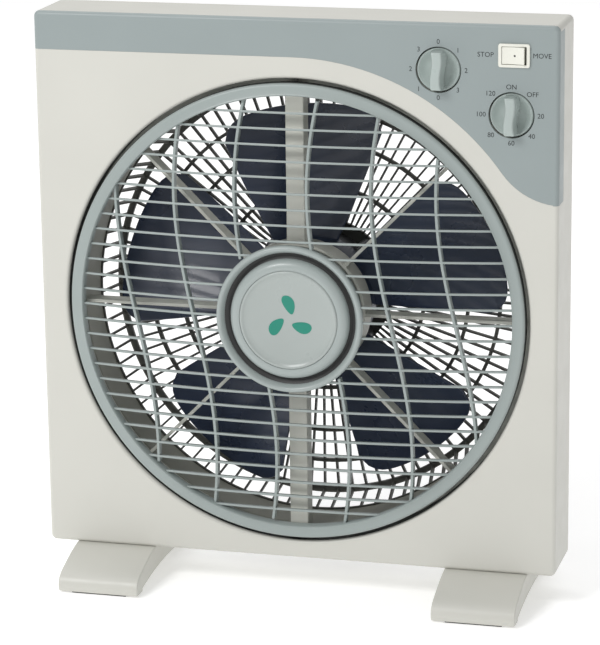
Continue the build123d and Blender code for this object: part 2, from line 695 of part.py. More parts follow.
def capacitor():
    """The motor's run capacitor, a flat block under the top wall."""
    block = box(-118, -80, FRONT + 24, FRONT + 42, TOP - WALL - 26, TOP - WALL)
    return fillet(block.edges().filter_by(Axis.Z), 2.0)


def lead(points, radius, bend):
    """A lead made of straight runs and round bends."""
    path = FilletPolyline(*points, radius=bend)
    start = Plane(path @ 0, z_dir=path % 0)
    return sweep(start * Circle(radius), path=path)


def motor_leads():
    """The main motor's leads, along the guard's seat and in through the duct."""
    y = FRONT + 72
    top = TOP - WALL - 18
    return lead([(0, y, FAN_Z + STATOR_R), (0, y, FAN_Z + 149), (0, LEAD_Y, FAN_Z + 149),
                 (0, LEAD_Y, top)], 2.2, 7)


def sync_motor_leads():
    """The geared motor's leads, up the channel of the top arm."""
    y = FRONT + 12
    top = TOP - WALL - 12
    return lead([(0, y, FAN_Z + 25), (0, y, top), (0, FRONT + 30, top)], 1.6, 7)


NODES = {
    "front_cover": front_cover,
    "control_panel": control_panel,
    "rear_panel": rear_panel,
    "rear_guard": rear_guard,
    "motor_cover": motor_cover,
    "cord_gland": cord_gland,
    "front_spider": front_spider,
    "sync_motor": sync_motor,
    "grille_drive_shaft": grille_drive_shaft,
    "louvre_grille": louvre_grille,
    "hub_cap": hub_cap,
    "hub_disc": hub_disc,
    "fan_blade": fan_blade,
    "blade_nut": blade_nut,
    "motor_shaft": motor_shaft,
    "rotor": rotor,
    "stator_core": stator_core,
    "stator_windings": stator_windings,
    "motor_front_bell": lambda: motor_bell(True),
    "motor_rear_bell": lambda: motor_bell(False),
    "motor_front_bush": lambda: motor_bush(True),
    "motor_rear_bush": lambda: motor_bush(False),
    "speed_knob": lambda: knob(SPEED_X, SPEED_Z),
    "speed_spindle": lambda: knob_shaft(SPEED_X, SPEED_Z, 24),
    "speed_switch": speed_switch,
    "timer_knob": lambda: knob(TIMER_X, TIMER_Z),
    "timer_spindle": lambda: knob_shaft(TIMER_X, TIMER_Z, 26),
    "timer": timer,
    "switch_body": switch_body,
    "rocker": rocker,
    "terminal_block": terminal_block,
    "capacitor": capacitor,
    "motor_leads": motor_leads,
    "sync_motor_leads": sync_motor_leads,
    "left_foot": lambda: foot(-1),
    "right_foot": lambda: foot(1),
    "foot_pads": foot_pads,
    "foot_screws": foot_screws,
    "panel_screws": panel_screws,
    "guard_screws": guard_screws,
    "motor_screws": motor_screws,
    "sync_screws": sync_screws,
    "spider_screws": spider_screws,
}

os.makedirs("parts", exist_ok=True)
for name, make in NODES.items():
    export_step(make(), "parts/" + name + ".step")
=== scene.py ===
"""A box fan with a rotating louvre grille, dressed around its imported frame. Lengths are in metres."""

import json
import math

import bmesh
import bpy
from mathutils import Matrix, Vector


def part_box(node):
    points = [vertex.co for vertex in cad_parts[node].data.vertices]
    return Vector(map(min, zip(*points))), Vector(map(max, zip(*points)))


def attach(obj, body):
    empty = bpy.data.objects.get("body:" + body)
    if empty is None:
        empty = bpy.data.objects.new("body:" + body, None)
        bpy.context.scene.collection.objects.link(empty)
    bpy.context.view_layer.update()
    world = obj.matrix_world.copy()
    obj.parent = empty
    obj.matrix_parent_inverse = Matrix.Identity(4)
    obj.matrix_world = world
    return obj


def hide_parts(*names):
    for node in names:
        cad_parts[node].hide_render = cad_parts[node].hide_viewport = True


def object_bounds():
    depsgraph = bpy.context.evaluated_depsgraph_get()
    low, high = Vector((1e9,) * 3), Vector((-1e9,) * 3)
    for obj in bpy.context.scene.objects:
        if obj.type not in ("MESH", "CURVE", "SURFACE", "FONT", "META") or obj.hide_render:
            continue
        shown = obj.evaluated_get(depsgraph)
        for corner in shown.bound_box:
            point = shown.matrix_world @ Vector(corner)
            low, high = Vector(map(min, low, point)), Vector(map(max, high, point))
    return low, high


bl_info = {
    "name": "Box fan",
    "version": (1, 0, 0),
    "blender": (4, 5, 0),
    "location": "View3D > Sidebar > Box fan",
    "description": "Builds a box fan with a rotating louvre grille piece by piece",
    "category": "Add Mesh",
}

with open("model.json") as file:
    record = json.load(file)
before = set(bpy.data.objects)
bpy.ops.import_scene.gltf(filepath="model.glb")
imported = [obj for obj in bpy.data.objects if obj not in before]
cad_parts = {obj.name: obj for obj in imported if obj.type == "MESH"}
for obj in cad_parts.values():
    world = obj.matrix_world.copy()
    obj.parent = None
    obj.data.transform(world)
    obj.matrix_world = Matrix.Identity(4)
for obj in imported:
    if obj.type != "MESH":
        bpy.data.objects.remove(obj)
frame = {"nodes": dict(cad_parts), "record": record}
CAD_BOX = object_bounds()

MM = 0.001
COVER_LO, COVER_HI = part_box("front_cover")
FRONT, BACK = COVER_LO.y, COVER_HI.y
BOTTOM, TOP = COVER_LO.z, COVER_HI.z
HALF_W = COVER_HI.x
GRILLE_LO, GRILLE_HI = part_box("louvre_grille")
RING_R = (GRILLE_HI.x - GRILLE_LO.x) / 2
FAN_Z = (GRILLE_HI.z + GRILLE_LO.z) / 2
CAP_LO, CAP_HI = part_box("hub_cap")
CAP_R = (CAP_HI.x - CAP_LO.x) / 2
GUARD_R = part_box("rear_guard")[1].x
PANEL_LO, PANEL_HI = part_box("rear_panel")
CUP_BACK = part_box("front_spider")[1].y
FASCIA_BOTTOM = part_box("control_panel")[0].z


def middle(node):
    """The middle of a CAD node's box."""
    low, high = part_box(node)
    return (low + high) / 2


SPEED = middle("speed_knob")
TIMER = middle("timer_knob")
SWITCH = middle("switch_body")
KNOB_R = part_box("speed_knob")[1].x - SPEED.x

# Shapes that the frame's boxes do not give
WALL = 3 * MM
CLEAR = 9 * MM  # how far a cutter runs past the face it cuts
BACK_EDGE_ROUND = 2.5 * MM
OPENING_R = RING_R + 2.8 * MM
COLLAR_END = FRONT + 15 * MM
DUCT_R = 159 * MM
RING_IN_R = RING_R - 9 * MM
RING_BACK = FRONT + 5 * MM
GRILLE_EDGE_R = RING_IN_R + 1.0 * MM
GRILLE_HUB_R = CAP_R - 2.0 * MM
DOME_R = 760 * MM
DOME_APEX = FRONT - 16.3 * MM
GROOVE_IN_R = 42.7 * MM
BADGE_R = 35 * MM
WELL_R = KNOB_R + 0.8 * MM
WELL_FLOOR = FRONT + 10 * MM
SWEEP_R = 180.5 * MM
TAIL_R = 51 * MM
FASCIA_T = 1.6 * MM
FASCIA_WRAP = 18 * MM
MARK_RING_R = 19.1 * MM
SPIDER_FRONT = FRONT + 7 * MM
SPIDER_DEPTH = 12 * MM
SPIDER_REACH = 160.5 * MM
CUP_R = 49 * MM
WHEEL_FRONT = FRONT + 32 * MM
WHEEL_BACK = FRONT + 57 * MM
WHEEL_R = 45 * MM
BLADE_TIP_R = 139 * MM
BLADE_FIRST = 20.6
BLADE_T = 2 * MM
GUARD_BACK = FRONT + 82 * MM
GUARD_SEAT = FRONT + 80 * MM
GUARD_RINGS = ((75, 2.4), (107, 2.4), (130, 2.4), (152, 4.6))
GUARD_EDGE_R = 154.3 * MM
RIB_X = (-115, -70.5, -26, 26, 70.5, 115)


# ---------------------------------------------------------------- settings


class FanSizes(bpy.types.PropertyGroup):
    """Sizes that a user may change."""

    slat_count: bpy.props.IntProperty(name="Slats", description="Number of louvre slats", default=27, min=5)
    slat_pitch: bpy.props.FloatProperty(
        name="Slat pitch", description="Height from slat to slat", default=10.95 * MM, unit="LENGTH")
    slat_depth: bpy.props.FloatProperty(
        name="Slat depth", description="Depth of a slat, front to back", default=6 * MM, unit="LENGTH")
    slat_tilt: bpy.props.FloatProperty(
        name="Slat tilt", description="How far a slat tips up at its front", default=math.radians(12),
        subtype="ANGLE")
    rib_sway: bpy.props.FloatProperty(
        name="Rib sway", description="How far an upright rib sways to each side", default=14 * MM,
        unit="LENGTH")
    blade_count: bpy.props.IntProperty(name="Blades", description="Number of blades", default=5, min=2)
    guard_ribs: bpy.props.IntProperty(
        name="Guard ribs", description="Number of ribs in the rear guard", default=90, min=12)
    edge_round: bpy.props.FloatProperty(
        name="Edge rounding", description="Rounding of the housing's front edge", default=3 * MM,
        unit="LENGTH")
    corner_round: bpy.props.FloatProperty(
        name="Corner rounding", description="Rounding of the housing's corners", default=4 * MM,
        unit="LENGTH")
    mark_height: bpy.props.FloatProperty(
        name="Mark height", description="Height of the dial numbers", default=3.3 * MM, unit="LENGTH")


def colour_setting(name, description, default):
    """A colour property with linear values."""
    return bpy.props.FloatVectorProperty(
        name=name, description=description, default=default, size=3, min=0, max=1, subtype="COLOR")


class FanColours(bpy.types.PropertyGroup):
    """Colours that a user may change."""

    housing: colour_setting("Housing", "Warm white moulding", (0.62, 0.615, 0.565))
    # The collar colour is near black as painted shade: the real collar is the housing's light plastic and
    # only looks dark in the shadow of the gap.
    collar: colour_setting("Collar", "Dark collar and seal of the opening", (0.028, 0.032, 0.029))
    fascia: colour_setting("Fascia", "Blue grey control band", (0.295, 0.34, 0.34))
    grille: colour_setting("Grille", "Blue grey rotating grille", (0.325, 0.37, 0.36))
    cap: colour_setting("Cap", "Silver grey hub cap", (0.35, 0.395, 0.385))
    badge: colour_setting("Badge", "Middle of the hub cap", (0.38, 0.42, 0.405))
    spider: colour_setting("Spider", "Warm grey fixed cross", (0.66, 0.66, 0.60))
    # The guard colour is near black as painted shade: the ribs are warm grey plastic like the rear shell and
    # only look dark against the light behind them.
    guard: colour_setting("Guard", "Rear guard", (0.085, 0.085, 0.075))
    duct: colour_setting("Duct", "Duct and rear panel", (0.36, 0.36, 0.31))
    blade: colour_setting("Blade", "Smoky navy blade", (0.028, 0.041, 0.078))
    knob: colour_setting("Knob", "Grey green dial", (0.40, 0.46, 0.44))
    switch: colour_setting("Switch", "Off-white rocker", (0.80, 0.80, 0.72))
    ink: colour_setting("Ink", "Printed marks", (0.010, 0.013, 0.014))
    emblem: colour_setting("Emblem", "Printed petal mark", (0.010, 0.24, 0.17))


def sizes():
    """The sizes in use."""
    return bpy.context.scene.fan_sizes


def colours():
    """The colours in use."""
    return bpy.context.scene.fan_colours


# ---------------------------------------------------------------- modelling helpers


def deselect():
    """Nothing is selected and nothing is in edit mode."""
    if bpy.context.mode != "OBJECT":
        bpy.ops.object.mode_set(mode="OBJECT")
    bpy.ops.object.select_all(action="DESELECT")


def only(piece):
    """Select one piece and make it active."""
    deselect()
    piece.select_set(True)
    bpy.context.view_layer.objects.active = piece


def edit(piece):
    """Enter edit mode on one piece with everything in it selected."""
    only(piece)
    bpy.ops.object.mode_set(mode="EDIT")
    bpy.context.tool_settings.mesh_select_mode = (True, False, False)
    bpy.ops.mesh.select_all(action="SELECT")


def named(name):
    """Name the piece that was just added, with its place in its mesh."""
    piece = bpy.context.object
    piece.name = name
    piece.data.name = name
    bpy.ops.object.transform_apply(location=True, rotation=True, scale=True)
    return piece


def block(name, low, high):
    """A cube primitive between two corners, to be shaped further."""
    deselect()
    low, high = Vector(low), Vector(high)
    bpy.ops.mesh.primitive_cube_add(size=1, location=(low + high) / 2, scale=high - low)
    return named(name)


def rod(name, radius, start, end, x=0.0, z=FAN_Z, vertices=96):
    """A cylinder primitive along Y, to be shaped further."""
    deselect()
    bpy.ops.mesh.primitive_cylinder_add(
        vertices=vertices, radius=radius, depth=end - start, location=(x, (start + end) / 2, z),
        rotation=(math.pi / 2, 0, 0))
    return named(name)


def trace(name, points, closed):
    """A chain of edges through points, drawn by extruding one vertex. Leaves edit mode on."""
    deselect()
    bpy.ops.mesh.primitive_plane_add(size=MM, location=points[0])
    piece = named(name)
    edit(piece)
    bpy.ops.mesh.merge(type="CENTER")
    route = [Vector(p) for p in points]
    if closed:
        route.append(route[0])
    for here, there in zip(route, route[1:]):
        bpy.ops.mesh.extrude_vertices_move(TRANSFORM_OT_translate={"value": there - here})
    bpy.ops.mesh.select_all(action="SELECT")
    if closed:
        bpy.ops.mesh.remove_doubles(threshold=1e-6)
        bpy.ops.mesh.select_all(action="SELECT")
    return piece


def outward():
    """In edit mode, turn all faces outward, and leave edit mode."""
    bpy.ops.mesh.select_all(action="SELECT")
    bpy.ops.mesh.remove_doubles(threshold=1e-6)
    bpy.ops.mesh.normals_make_consistent(inside=False)
    bpy.ops.object.mode_set(mode="OBJECT")


def lathe(name, profile, steps=160, x=0.0, z=FAN_Z, closed=True):
    """Spin an outline of (radius, y) points about an axis along Y."""
    piece = trace(name, [(x + radius, y, z) for radius, y in profile], closed)
    bpy.ops.mesh.spin(steps=steps, angle=2 * math.pi, center=(x, 0, z), axis=(0, 1, 0))
    outward()
    return piece


def prism(name, points, push):
    """A closed flat outline, filled and extruded."""
    piece = trace(name, points, True)
    bpy.ops.mesh.edge_face_add()
    bpy.ops.mesh.extrude_region_move(TRANSFORM_OT_translate={"value": push})
    outward()
    return piece


def strip(name, points, push, thickness):
    """A thin bent strip: a chain of edges extruded sideways and given a thickness."""
    piece = trace(name, points, False)
    bpy.ops.mesh.extrude_region_move(TRANSFORM_OT_translate={"value": push})
    bpy.ops.object.mode_set(mode="OBJECT")
    modify(piece, "SOLIDIFY", thickness=thickness, offset=0, use_even_offset=True)
    edit(piece)
    outward()
    return piece


def modify(piece, kind, **settings):
    """Add a modifier, set it and apply it."""
    only(piece)
    bpy.ops.object.modifier_add(type=kind)
    modifier = piece.modifiers[-1]
    for key, value in settings.items():
        setattr(modifier, key, value)
    bpy.ops.object.modifier_apply(modifier=modifier.name)


def combine(piece, tool, operation, keep=False):
    """Cut, join or intersect a piece with a tool shape."""
    modify(piece, "BOOLEAN", object=tool, operation=operation, solver="EXACT")
    if not keep:
        bpy.data.objects.remove(tool)


def soften(piece, width, segments=2, angle=35):
    """Round the sharp edges and shade the piece smoothly, flat faces staying flat."""
    modify(piece, "BEVEL", width=width, segments=segments, limit_method="ANGLE",
           angle_limit=math.radians(angle), use_clamp_overlap=True)
    shade(piece, weighted=True)


def shade(piece, angle=40, weighted=False):
    """Smooth shading up to an angle."""
    only(piece)
    bpy.ops.object.shade_smooth_by_angle(angle=math.radians(angle))
    if weighted:
        modify(piece, "WEIGHTED_NORMAL", keep_sharp=True)


def pick(piece, kind, test):
    """In edit mode, select the faces or edges that pass a test."""
    bpy.context.tool_settings.mesh_select_mode = (False, kind == "edges", kind == "faces")
    bpy.ops.mesh.select_all(action="DESELECT")
    mesh = bmesh.from_edit_mesh(piece.data)
    for item in getattr(mesh, kind):
        item.select_set(test(item))
    bmesh.update_edit_mesh(piece.data)


def along_y(edge):
    """True for an edge that runs front to back."""
    return abs((edge.verts[0].co - edge.verts[1].co).y) > MM


def bevel(piece, test, width, segments):
    """In edit mode, round the edges that pass a test."""
    pick(piece, "edges", test)
    bpy.ops.mesh.bevel(offset=width, segments=segments, affect="EDGES")


def twin(piece, name, matrix):
    """A copy with its own mesh, moved inside its mesh."""
    copy = piece.copy()
    copy.data = piece.data.copy()
    copy.name = copy.data.name = name
    copy.data.transform(matrix)
    bpy.context.scene.collection.objects.link(copy)
    return copy


def about_fan(degrees):
    """A turn about the fan axis, anticlockwise seen from the front."""
    centre = Matrix.Translation((0, 0, FAN_Z))
    return centre @ Matrix.Rotation(math.radians(-degrees), 4, "Y") @ centre.inverted()


def join(pieces, name):
    """Join pieces into one."""
    deselect()
    for piece in pieces:
        piece.select_set(True)
    bpy.context.view_layer.objects.active = pieces[0]
    bpy.ops.object.join()
    pieces[0].name = pieces[0].data.name = name
    return pieces[0]


def polar(radius, degrees, y, x=0.0, z=FAN_Z):
    """A point at a radius and angle in a plane across the fan axis."""
    turn = math.radians(degrees)
    return (x + radius * math.cos(turn), y, z + radius * math.sin(turn))


def dome(radius):
    """The front of the grille's dome at a radius."""
    return DOME_APEX + DOME_R - math.sqrt(DOME_R ** 2 - radius ** 2)


def done(piece, body, material, replaces=()):
    """Give a finished piece its material and body, and hide the CAD nodes that it replaces."""
    piece.data.materials.clear()
    piece.data.materials.append(material)
    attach(piece, body)
    if replaces:
        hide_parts(*replaces)
    return piece


# ---------------------------------------------------------------- materials


def surface(name):
    """A new node material: its node tree, its shader and its Object coordinates."""
    material = bpy.data.materials.get(name) or bpy.data.materials.new(name)
    material.use_nodes = True
    tree = material.node_tree
    shader = next(n for n in tree.nodes if n.type == "BSDF_PRINCIPLED")
    place = tree.nodes.new("ShaderNodeTexCoord").outputs["Object"]
    return material, tree, shader, place


def noise(tree, place, scale, detail=3.0, stretch=(1, 1, 1)):
    """Noise at a scale, stretched along an axis if asked."""
    mapping = tree.nodes.new("ShaderNodeMapping")
    mapping.inputs["Scale"].default_value = stretch
    tree.links.new(place, mapping.inputs["Vector"])
    node = tree.nodes.new("ShaderNodeTexNoise")
    node.inputs["Scale"].default_value = scale
    node.inputs["Detail"].default_value = detail
    tree.links.new(mapping.outputs["Vector"], node.inputs["Vector"])
    return node.outputs["Fac"]


def spread(tree, value, low, high):
    """Map noise to a range."""
    node = tree.nodes.new("ShaderNodeMapRange")
    node.inputs["From Min"].default_value = 0.3
    node.inputs["From Max"].default_value = 0.7
    node.inputs["To Min"].default_value = low
    node.inputs["To Max"].default_value = high
    tree.links.new(value, node.inputs["Value"])
    return node.outputs["Result"]


def tint(tree, colour, amount, value):
    """A colour that drifts lighter and darker with a value."""
    mix = tree.nodes.new("ShaderNodeMix")
    mix.data_type = "RGBA"
    mix.inputs[6].default_value = (*[c * (1 - amount) for c in colour], 1)
    mix.inputs[7].default_value = (*[min(1, c * (1 + amount)) for c in colour], 1)
    tree.links.new(spread(tree, value, 0, 1), mix.inputs["Factor"])
    return mix.outputs[2]


def bump(tree, shader, value, strength, distance):
    """Relief from a value."""
    node = tree.nodes.new("ShaderNodeBump")
    node.inputs["Strength"].default_value = strength
    node.inputs["Distance"].default_value = distance
    tree.links.new(value, node.inputs["Height"])
    tree.links.new(node.outputs["Normal"], shader.inputs["Normal"])


def moulded(name, colour, roughness, drift=0.03, grain=1400, relief=0.06, gloss=0.0):
    """Moulded plastic: a slight drift of colour, a fine spark-eroded grain and uneven gloss."""
    material, tree, shader, place = surface(name)
    wide = noise(tree, place, 14, 4)
    fine = noise(tree, place, grain, 2)
    tree.links.new(tint(tree, colour, drift, wide), shader.inputs["Base Color"])
    rough = spread(tree, noise(tree, place, 60, 3), roughness * 0.88, roughness * 1.12)
    tree.links.new(rough, shader.inputs["Roughness"])
    shader.inputs["Specular IOR Level"].default_value = 0.5
    shader.inputs["IOR"].default_value = 1.5
    shader.inputs["Coat Weight"].default_value = gloss
    shader.inputs["Coat Roughness"].default_value = 0.12
    bump(tree, shader, fine, relief, 0.2 * MM)
    return material


def metal(name, colour, roughness, stretch=(1, 1, 1), grain=300):
    """Metal with fine machining marks."""
    material, tree, shader, place = surface(name)
    marks = noise(tree, place, grain, 3, stretch)
    tree.links.new(tint(tree, colour, 0.08, marks), shader.inputs["Base Color"])
    tree.links.new(spread(tree, marks, roughness * 0.8, roughness * 1.25), shader.inputs["Roughness"])
    shader.inputs["Metallic"].default_value = 1.0
    bump(tree, shader, marks, 0.08, 0.1 * MM)
    return material


def laminated(name, colour):
    """Stacked steel sheets, seen as fine lines along Y."""
    material, tree, shader, place = surface(name)
    wave = tree.nodes.new("ShaderNodeTexWave")
    wave.bands_direction = "Y"
    wave.inputs["Scale"].default_value = 320
    wave.inputs["Distortion"].default_value = 0.4
    tree.links.new(place, wave.inputs["Vector"])
    tree.links.new(tint(tree, colour, 0.35, wave.outputs["Fac"]), shader.inputs["Base Color"])
    shader.inputs["Metallic"].default_value = 0.8
    shader.inputs["Roughness"].default_value = 0.5
    bump(tree, shader, wave.outputs["Fac"], 0.3, 0.1 * MM)
    return material


def wound(name, colour):
    """Enamelled copper wire, wound in fine rings."""
    material, tree, shader, place = surface(name)
    wave = tree.nodes.new("ShaderNodeTexWave")
    wave.wave_type = "RINGS"
    wave.rings_direction = "Y"
    wave.inputs["Scale"].default_value = 420
    wave.inputs["Distortion"].default_value = 1.5
    mapping = tree.nodes.new("ShaderNodeMapping")
    mapping.inputs["Location"].default_value = (0, 0, -FAN_Z)
    tree.links.new(place, mapping.inputs["Vector"])
    tree.links.new(mapping.outputs["Vector"], wave.inputs["Vector"])
    tree.links.new(tint(tree, colour, 0.3, wave.outputs["Fac"]), shader.inputs["Base Color"])
    shader.inputs["Metallic"].default_value = 0.7
    shader.inputs["Roughness"].default_value = 0.35
    bump(tree, shader, wave.outputs["Fac"], 0.5, 0.2 * MM)
    return material


def smoky(name, colour):
    """Smoky glossy plastic that lets a little light through, with soft flow marks."""
    material, tree, shader, place = surface(name)
    flow = noise(tree, place, 9, 5, (1, 3, 1))
    tree.links.new(tint(tree, colour, 0.25, flow), shader.inputs["Base Color"])
    tree.links.new(spread(tree, noise(tree, place, 30, 4), 0.24, 0.36), shader.inputs["Roughness"])
    shader.inputs["Transmission Weight"].default_value = 0.10
    shader.inputs["IOR"].default_value = 1.49
    shader.inputs["Coat Weight"].default_value = 0.35
    shader.inputs["Coat Roughness"].default_value = 0.08
    bump(tree, shader, noise(tree, place, 900, 2), 0.03, 0.1 * MM)
    return material


MATERIALS = {}


def make_materials():
    """All finishes, by the record's slot name."""
    c = colours()
    MATERIALS["housing"] = moulded("warm_white_moulding", c.housing, 0.42, 0.02, 1500, 0.05)
    MATERIALS["fascia"] = moulded("blue_grey_fascia", c.fascia, 0.40, 0.02, 1800, 0.05)
    MATERIALS["grille"] = moulded("blue_grey_grille", c.grille, 0.38, 0.03, 1600, 0.05)
    MATERIALS["cap"] = moulded("silver_grey_cap", c.cap, 0.34, 0.03, 2200, 0.05, 0.2)
    MATERIALS["badge"] = moulded("silver_grey_badge", c.badge, 0.30, 0.03, 2600, 0.04, 0.25)
    # Near-black collar material: painted shade for the gap round the grille ring.
    MATERIALS["collar"] = moulded("shaded_collar", c.collar, 0.55, 0.04, 1300, 0.07)
    MATERIALS["spider"] = moulded("warm_grey_spider", c.spider, 0.45, 0.04, 1300, 0.07)
    # Near-black guard material: painted shade of the backlit ribs over their warm grey plastic.
    MATERIALS["guard"] = moulded("warm_grey_guard", c.guard, 0.50, 0.05, 1300, 0.07)
    MATERIALS["duct"] = moulded("warm_grey_duct", c.duct, 0.50, 0.04, 1300, 0.07)
    MATERIALS["blade"] = smoky("smoky_navy_blade", c.blade)
    MATERIALS["knob"] = moulded("grey_green_knob", c.knob, 0.30, 0.03, 1900, 0.04, 0.35)
    MATERIALS["switch_white"] = moulded("off_white_switch", c.switch, 0.28, 0.02, 1900, 0.03, 0.3)
    # Black moulding for the black CAD parts, and also the painted shade ring in the hub cap's groove.
    MATERIALS["black_plastic"] = moulded("black_moulding", (0.03, 0.03, 0.03), 0.45, 0.1, 1200, 0.08)
    MATERIALS["steel"] = metal("zinc_plated_steel", (0.62, 0.62, 0.60), 0.32)
    MATERIALS["core_steel"] = laminated("laminated_core", (0.16, 0.16, 0.17))
    MATERIALS["cast"] = metal("pressed_light_alloy", (0.60, 0.60, 0.60), 0.42, (1, 1, 1), 180)
    MATERIALS["copper"] = wound("enamelled_copper", (0.55, 0.20, 0.07))
    MATERIALS["bush"] = metal("sintered_bronze", (0.58, 0.38, 0.16), 0.45, (1, 1, 1), 900)
    MATERIALS["rubber"] = moulded("black_rubber", (0.035, 0.035, 0.035), 0.75, 0.15, 700, 0.25)
    MATERIALS["lead"] = moulded("grey_sleeve", (0.34, 0.34, 0.32), 0.5, 0.1, 800, 0.1)
    MATERIALS["ink"] = moulded("printed_marks", c.ink, 0.5, 0.05, 900, 0.02)
    MATERIALS["emblem"] = moulded("printed_petals", c.emblem, 0.45, 0.05, 900, 0.02)


# ---------------------------------------------------------------- outlines


def band_outline(y):
    """The fascia's outline, running past the housing's edges."""
    reach = SWEEP_R + TAIL_R
    low = FASCIA_BOTTOM
    turn = math.degrees(math.asin((low + TAIL_R - FAN_Z) / reach))
    centre = polar(reach, turn, y)
    out = HALF_W + 5 * MM
    points = [(-out, y, TOP + 5 * MM), (-out, y, FAN_Z + SWEEP_R)]
    steps = 24
    points += [polar(SWEEP_R, 90 + (turn - 90) * i / steps, y) for i in range(steps + 1)]
    start, end = turn + 180, 270
    points += [polar(TAIL_R, start + (end - start) * i / 10, y, centre[0], centre[2]) for i in range(1, 11)]
    points += [(out, y, low), (out, y, TOP + 5 * MM)]
    return points


def outer_block(name):
    """The housing's outer form: corners and front edge rounded."""
    body = block(name, (-HALF_W, FRONT, BOTTOM), (HALF_W, BACK, TOP))
    edit(body)
    bevel(body, along_y, sizes().corner_round, 8)
    bevel(body, lambda e: all(v.co.y < FRONT + 1e-5 for v in e.verts), sizes().edge_round, 5)
    bevel(body, lambda e: all(v.co.y > BACK - 1e-5 for v in e.verts), BACK_EDGE_ROUND, 4)
    outward()
    return body


def fascia_skin(name):
    """The fascia's skin: its face, the rounded edges beside it and a return along the right side."""
    s = sizes()
    skin = outer_block(name)
    core = block("cutter", (-HALF_W + FASCIA_T, FRONT + FASCIA_T, BOTTOM - CLEAR),
                 (HALF_W - FASCIA_T, BACK + MM, TOP - FASCIA_T))
    edit(core)
    bevel(core, along_y, s.corner_round - FASCIA_T, 6)
    bevel(core, lambda e: all(v.co.y < FRONT + FASCIA_T + 1e-5 for v in e.verts), s.edge_round - FASCIA_T, 4)
    outward()
    combine(skin, core, "DIFFERENCE")
    zone = prism("cutter", band_outline(FRONT - CLEAR), (0, CLEAR + s.edge_round, 0))
    side = block("cutter_side", (HALF_W - s.corner_round, FRONT - 8 * MM, FASCIA_BOTTOM),
                 (HALF_W + 4 * MM, FRONT + FASCIA_WRAP, TOP - s.corner_round))
    combine(zone, side, "UNION")
    combine(skin, zone, "INTERSECT")
    return skin


def cut_controls(piece):
    """Cut the knobs' holes and the switch's slot through a piece of the front."""
    for knob in (SPEED, TIMER):
        hole = rod("cutter", WELL_R, FRONT - CLEAR, FRONT + 6 * MM, knob.x, knob.z, 64)
        combine(piece, hole, "DIFFERENCE")
    slot = block("cutter", (SWITCH.x - 9.6 * MM, FRONT - CLEAR, SWITCH.z - 6.9 * MM),
                 (SWITCH.x + 9.6 * MM, FRONT + 9 * MM, SWITCH.z + 6.9 * MM))
    combine(piece, slot, "DIFFERENCE")


# ---------------------------------------------------------------- operators


class Build:
    """What every building operator shares."""

    bl_options = {"REGISTER"}

    def execute(self, context):
        """Build the piece and leave nothing selected."""
        self.build()
        deselect()
        return {"FINISHED"}


class FAN_OT_materials(Build, bpy.types.Operator):
    """Make the finishes and give the inner CAD parts theirs"""

    bl_idname = "fan.materials"
    bl_label = "Finishes"

    def build(self):
        make_materials()
        for part in frame["record"]["subparts"]:
            node = frame["nodes"][part["node"]]
            node.data.materials.clear()
            node.data.materials.append(MATERIALS[part["material_slot"]])


class FAN_OT_housing(Build, bpy.types.Operator):
    """The moulded housing with its opening, collar and knob wells"""

    bl_idname = "fan.housing"
    bl_label = "Housing"

    def build(self):
        shell = outer_block("housing_shell")
        hollow = block("cutter", (-HALF_W + WALL, FRONT + WALL, BOTTOM + WALL),
                       (HALF_W - WALL, BACK + MM, TOP - WALL))
        combine(shell, hollow, "DIFFERENCE")
        mouth = lathe("cutter", [
            (0, FRONT - CLEAR), (OPENING_R + 9 * MM, FRONT - CLEAR), (OPENING_R + 9 * MM, FRONT - 0.02 * MM),
            (OPENING_R + 2.8 * MM, FRONT - 0.02 * MM), (OPENING_R + 1.5 * MM, FRONT + 0.3 * MM),
            (OPENING_R + 0.6 * MM, FRONT + 0.95 * MM), (OPENING_R + 0.1 * MM, FRONT + 1.9 * MM),
            (OPENING_R, FRONT + 2.6 * MM), (OPENING_R, COLLAR_END + MM), (0, COLLAR_END + MM)],
            192, closed=False)
        combine(shell, mouth, "DIFFERENCE")
        combine(shell, fascia_skin("band"), "DIFFERENCE")
        cut_controls(shell)
        soften(shell, 0.3 * MM, 2, 60)
        # The collar gets the near-black collar material, painted shade for the gap behind the grille ring.
        collar = lathe("opening_collar", [
            (OPENING_R, FRONT + WALL), (OPENING_R + 2.2 * MM, FRONT + WALL),
            (OPENING_R + 2.2 * MM, COLLAR_END), (OPENING_R, COLLAR_END)], 192)
        shade(collar)
        done(collar, "housing", MATERIALS["collar"])
        parts = [shell]
        for knob in (SPEED, TIMER):
            well = lathe("well", [
                (WELL_R, FRONT + 1.7 * MM), (WELL_R + 1.6 * MM, FRONT + 1.7 * MM),
                (WELL_R + 1.6 * MM, WELL_FLOOR + FASCIA_T), (4.5 * MM, WELL_FLOOR + FASCIA_T),
                (4.5 * MM, WELL_FLOOR), (WELL_R, WELL_FLOOR)], 64, knob.x, knob.z)
            shade(well)
            parts.append(well)
        done(join(parts, "housing_shell"), "housing", MATERIALS["housing"], ["front_cover"])


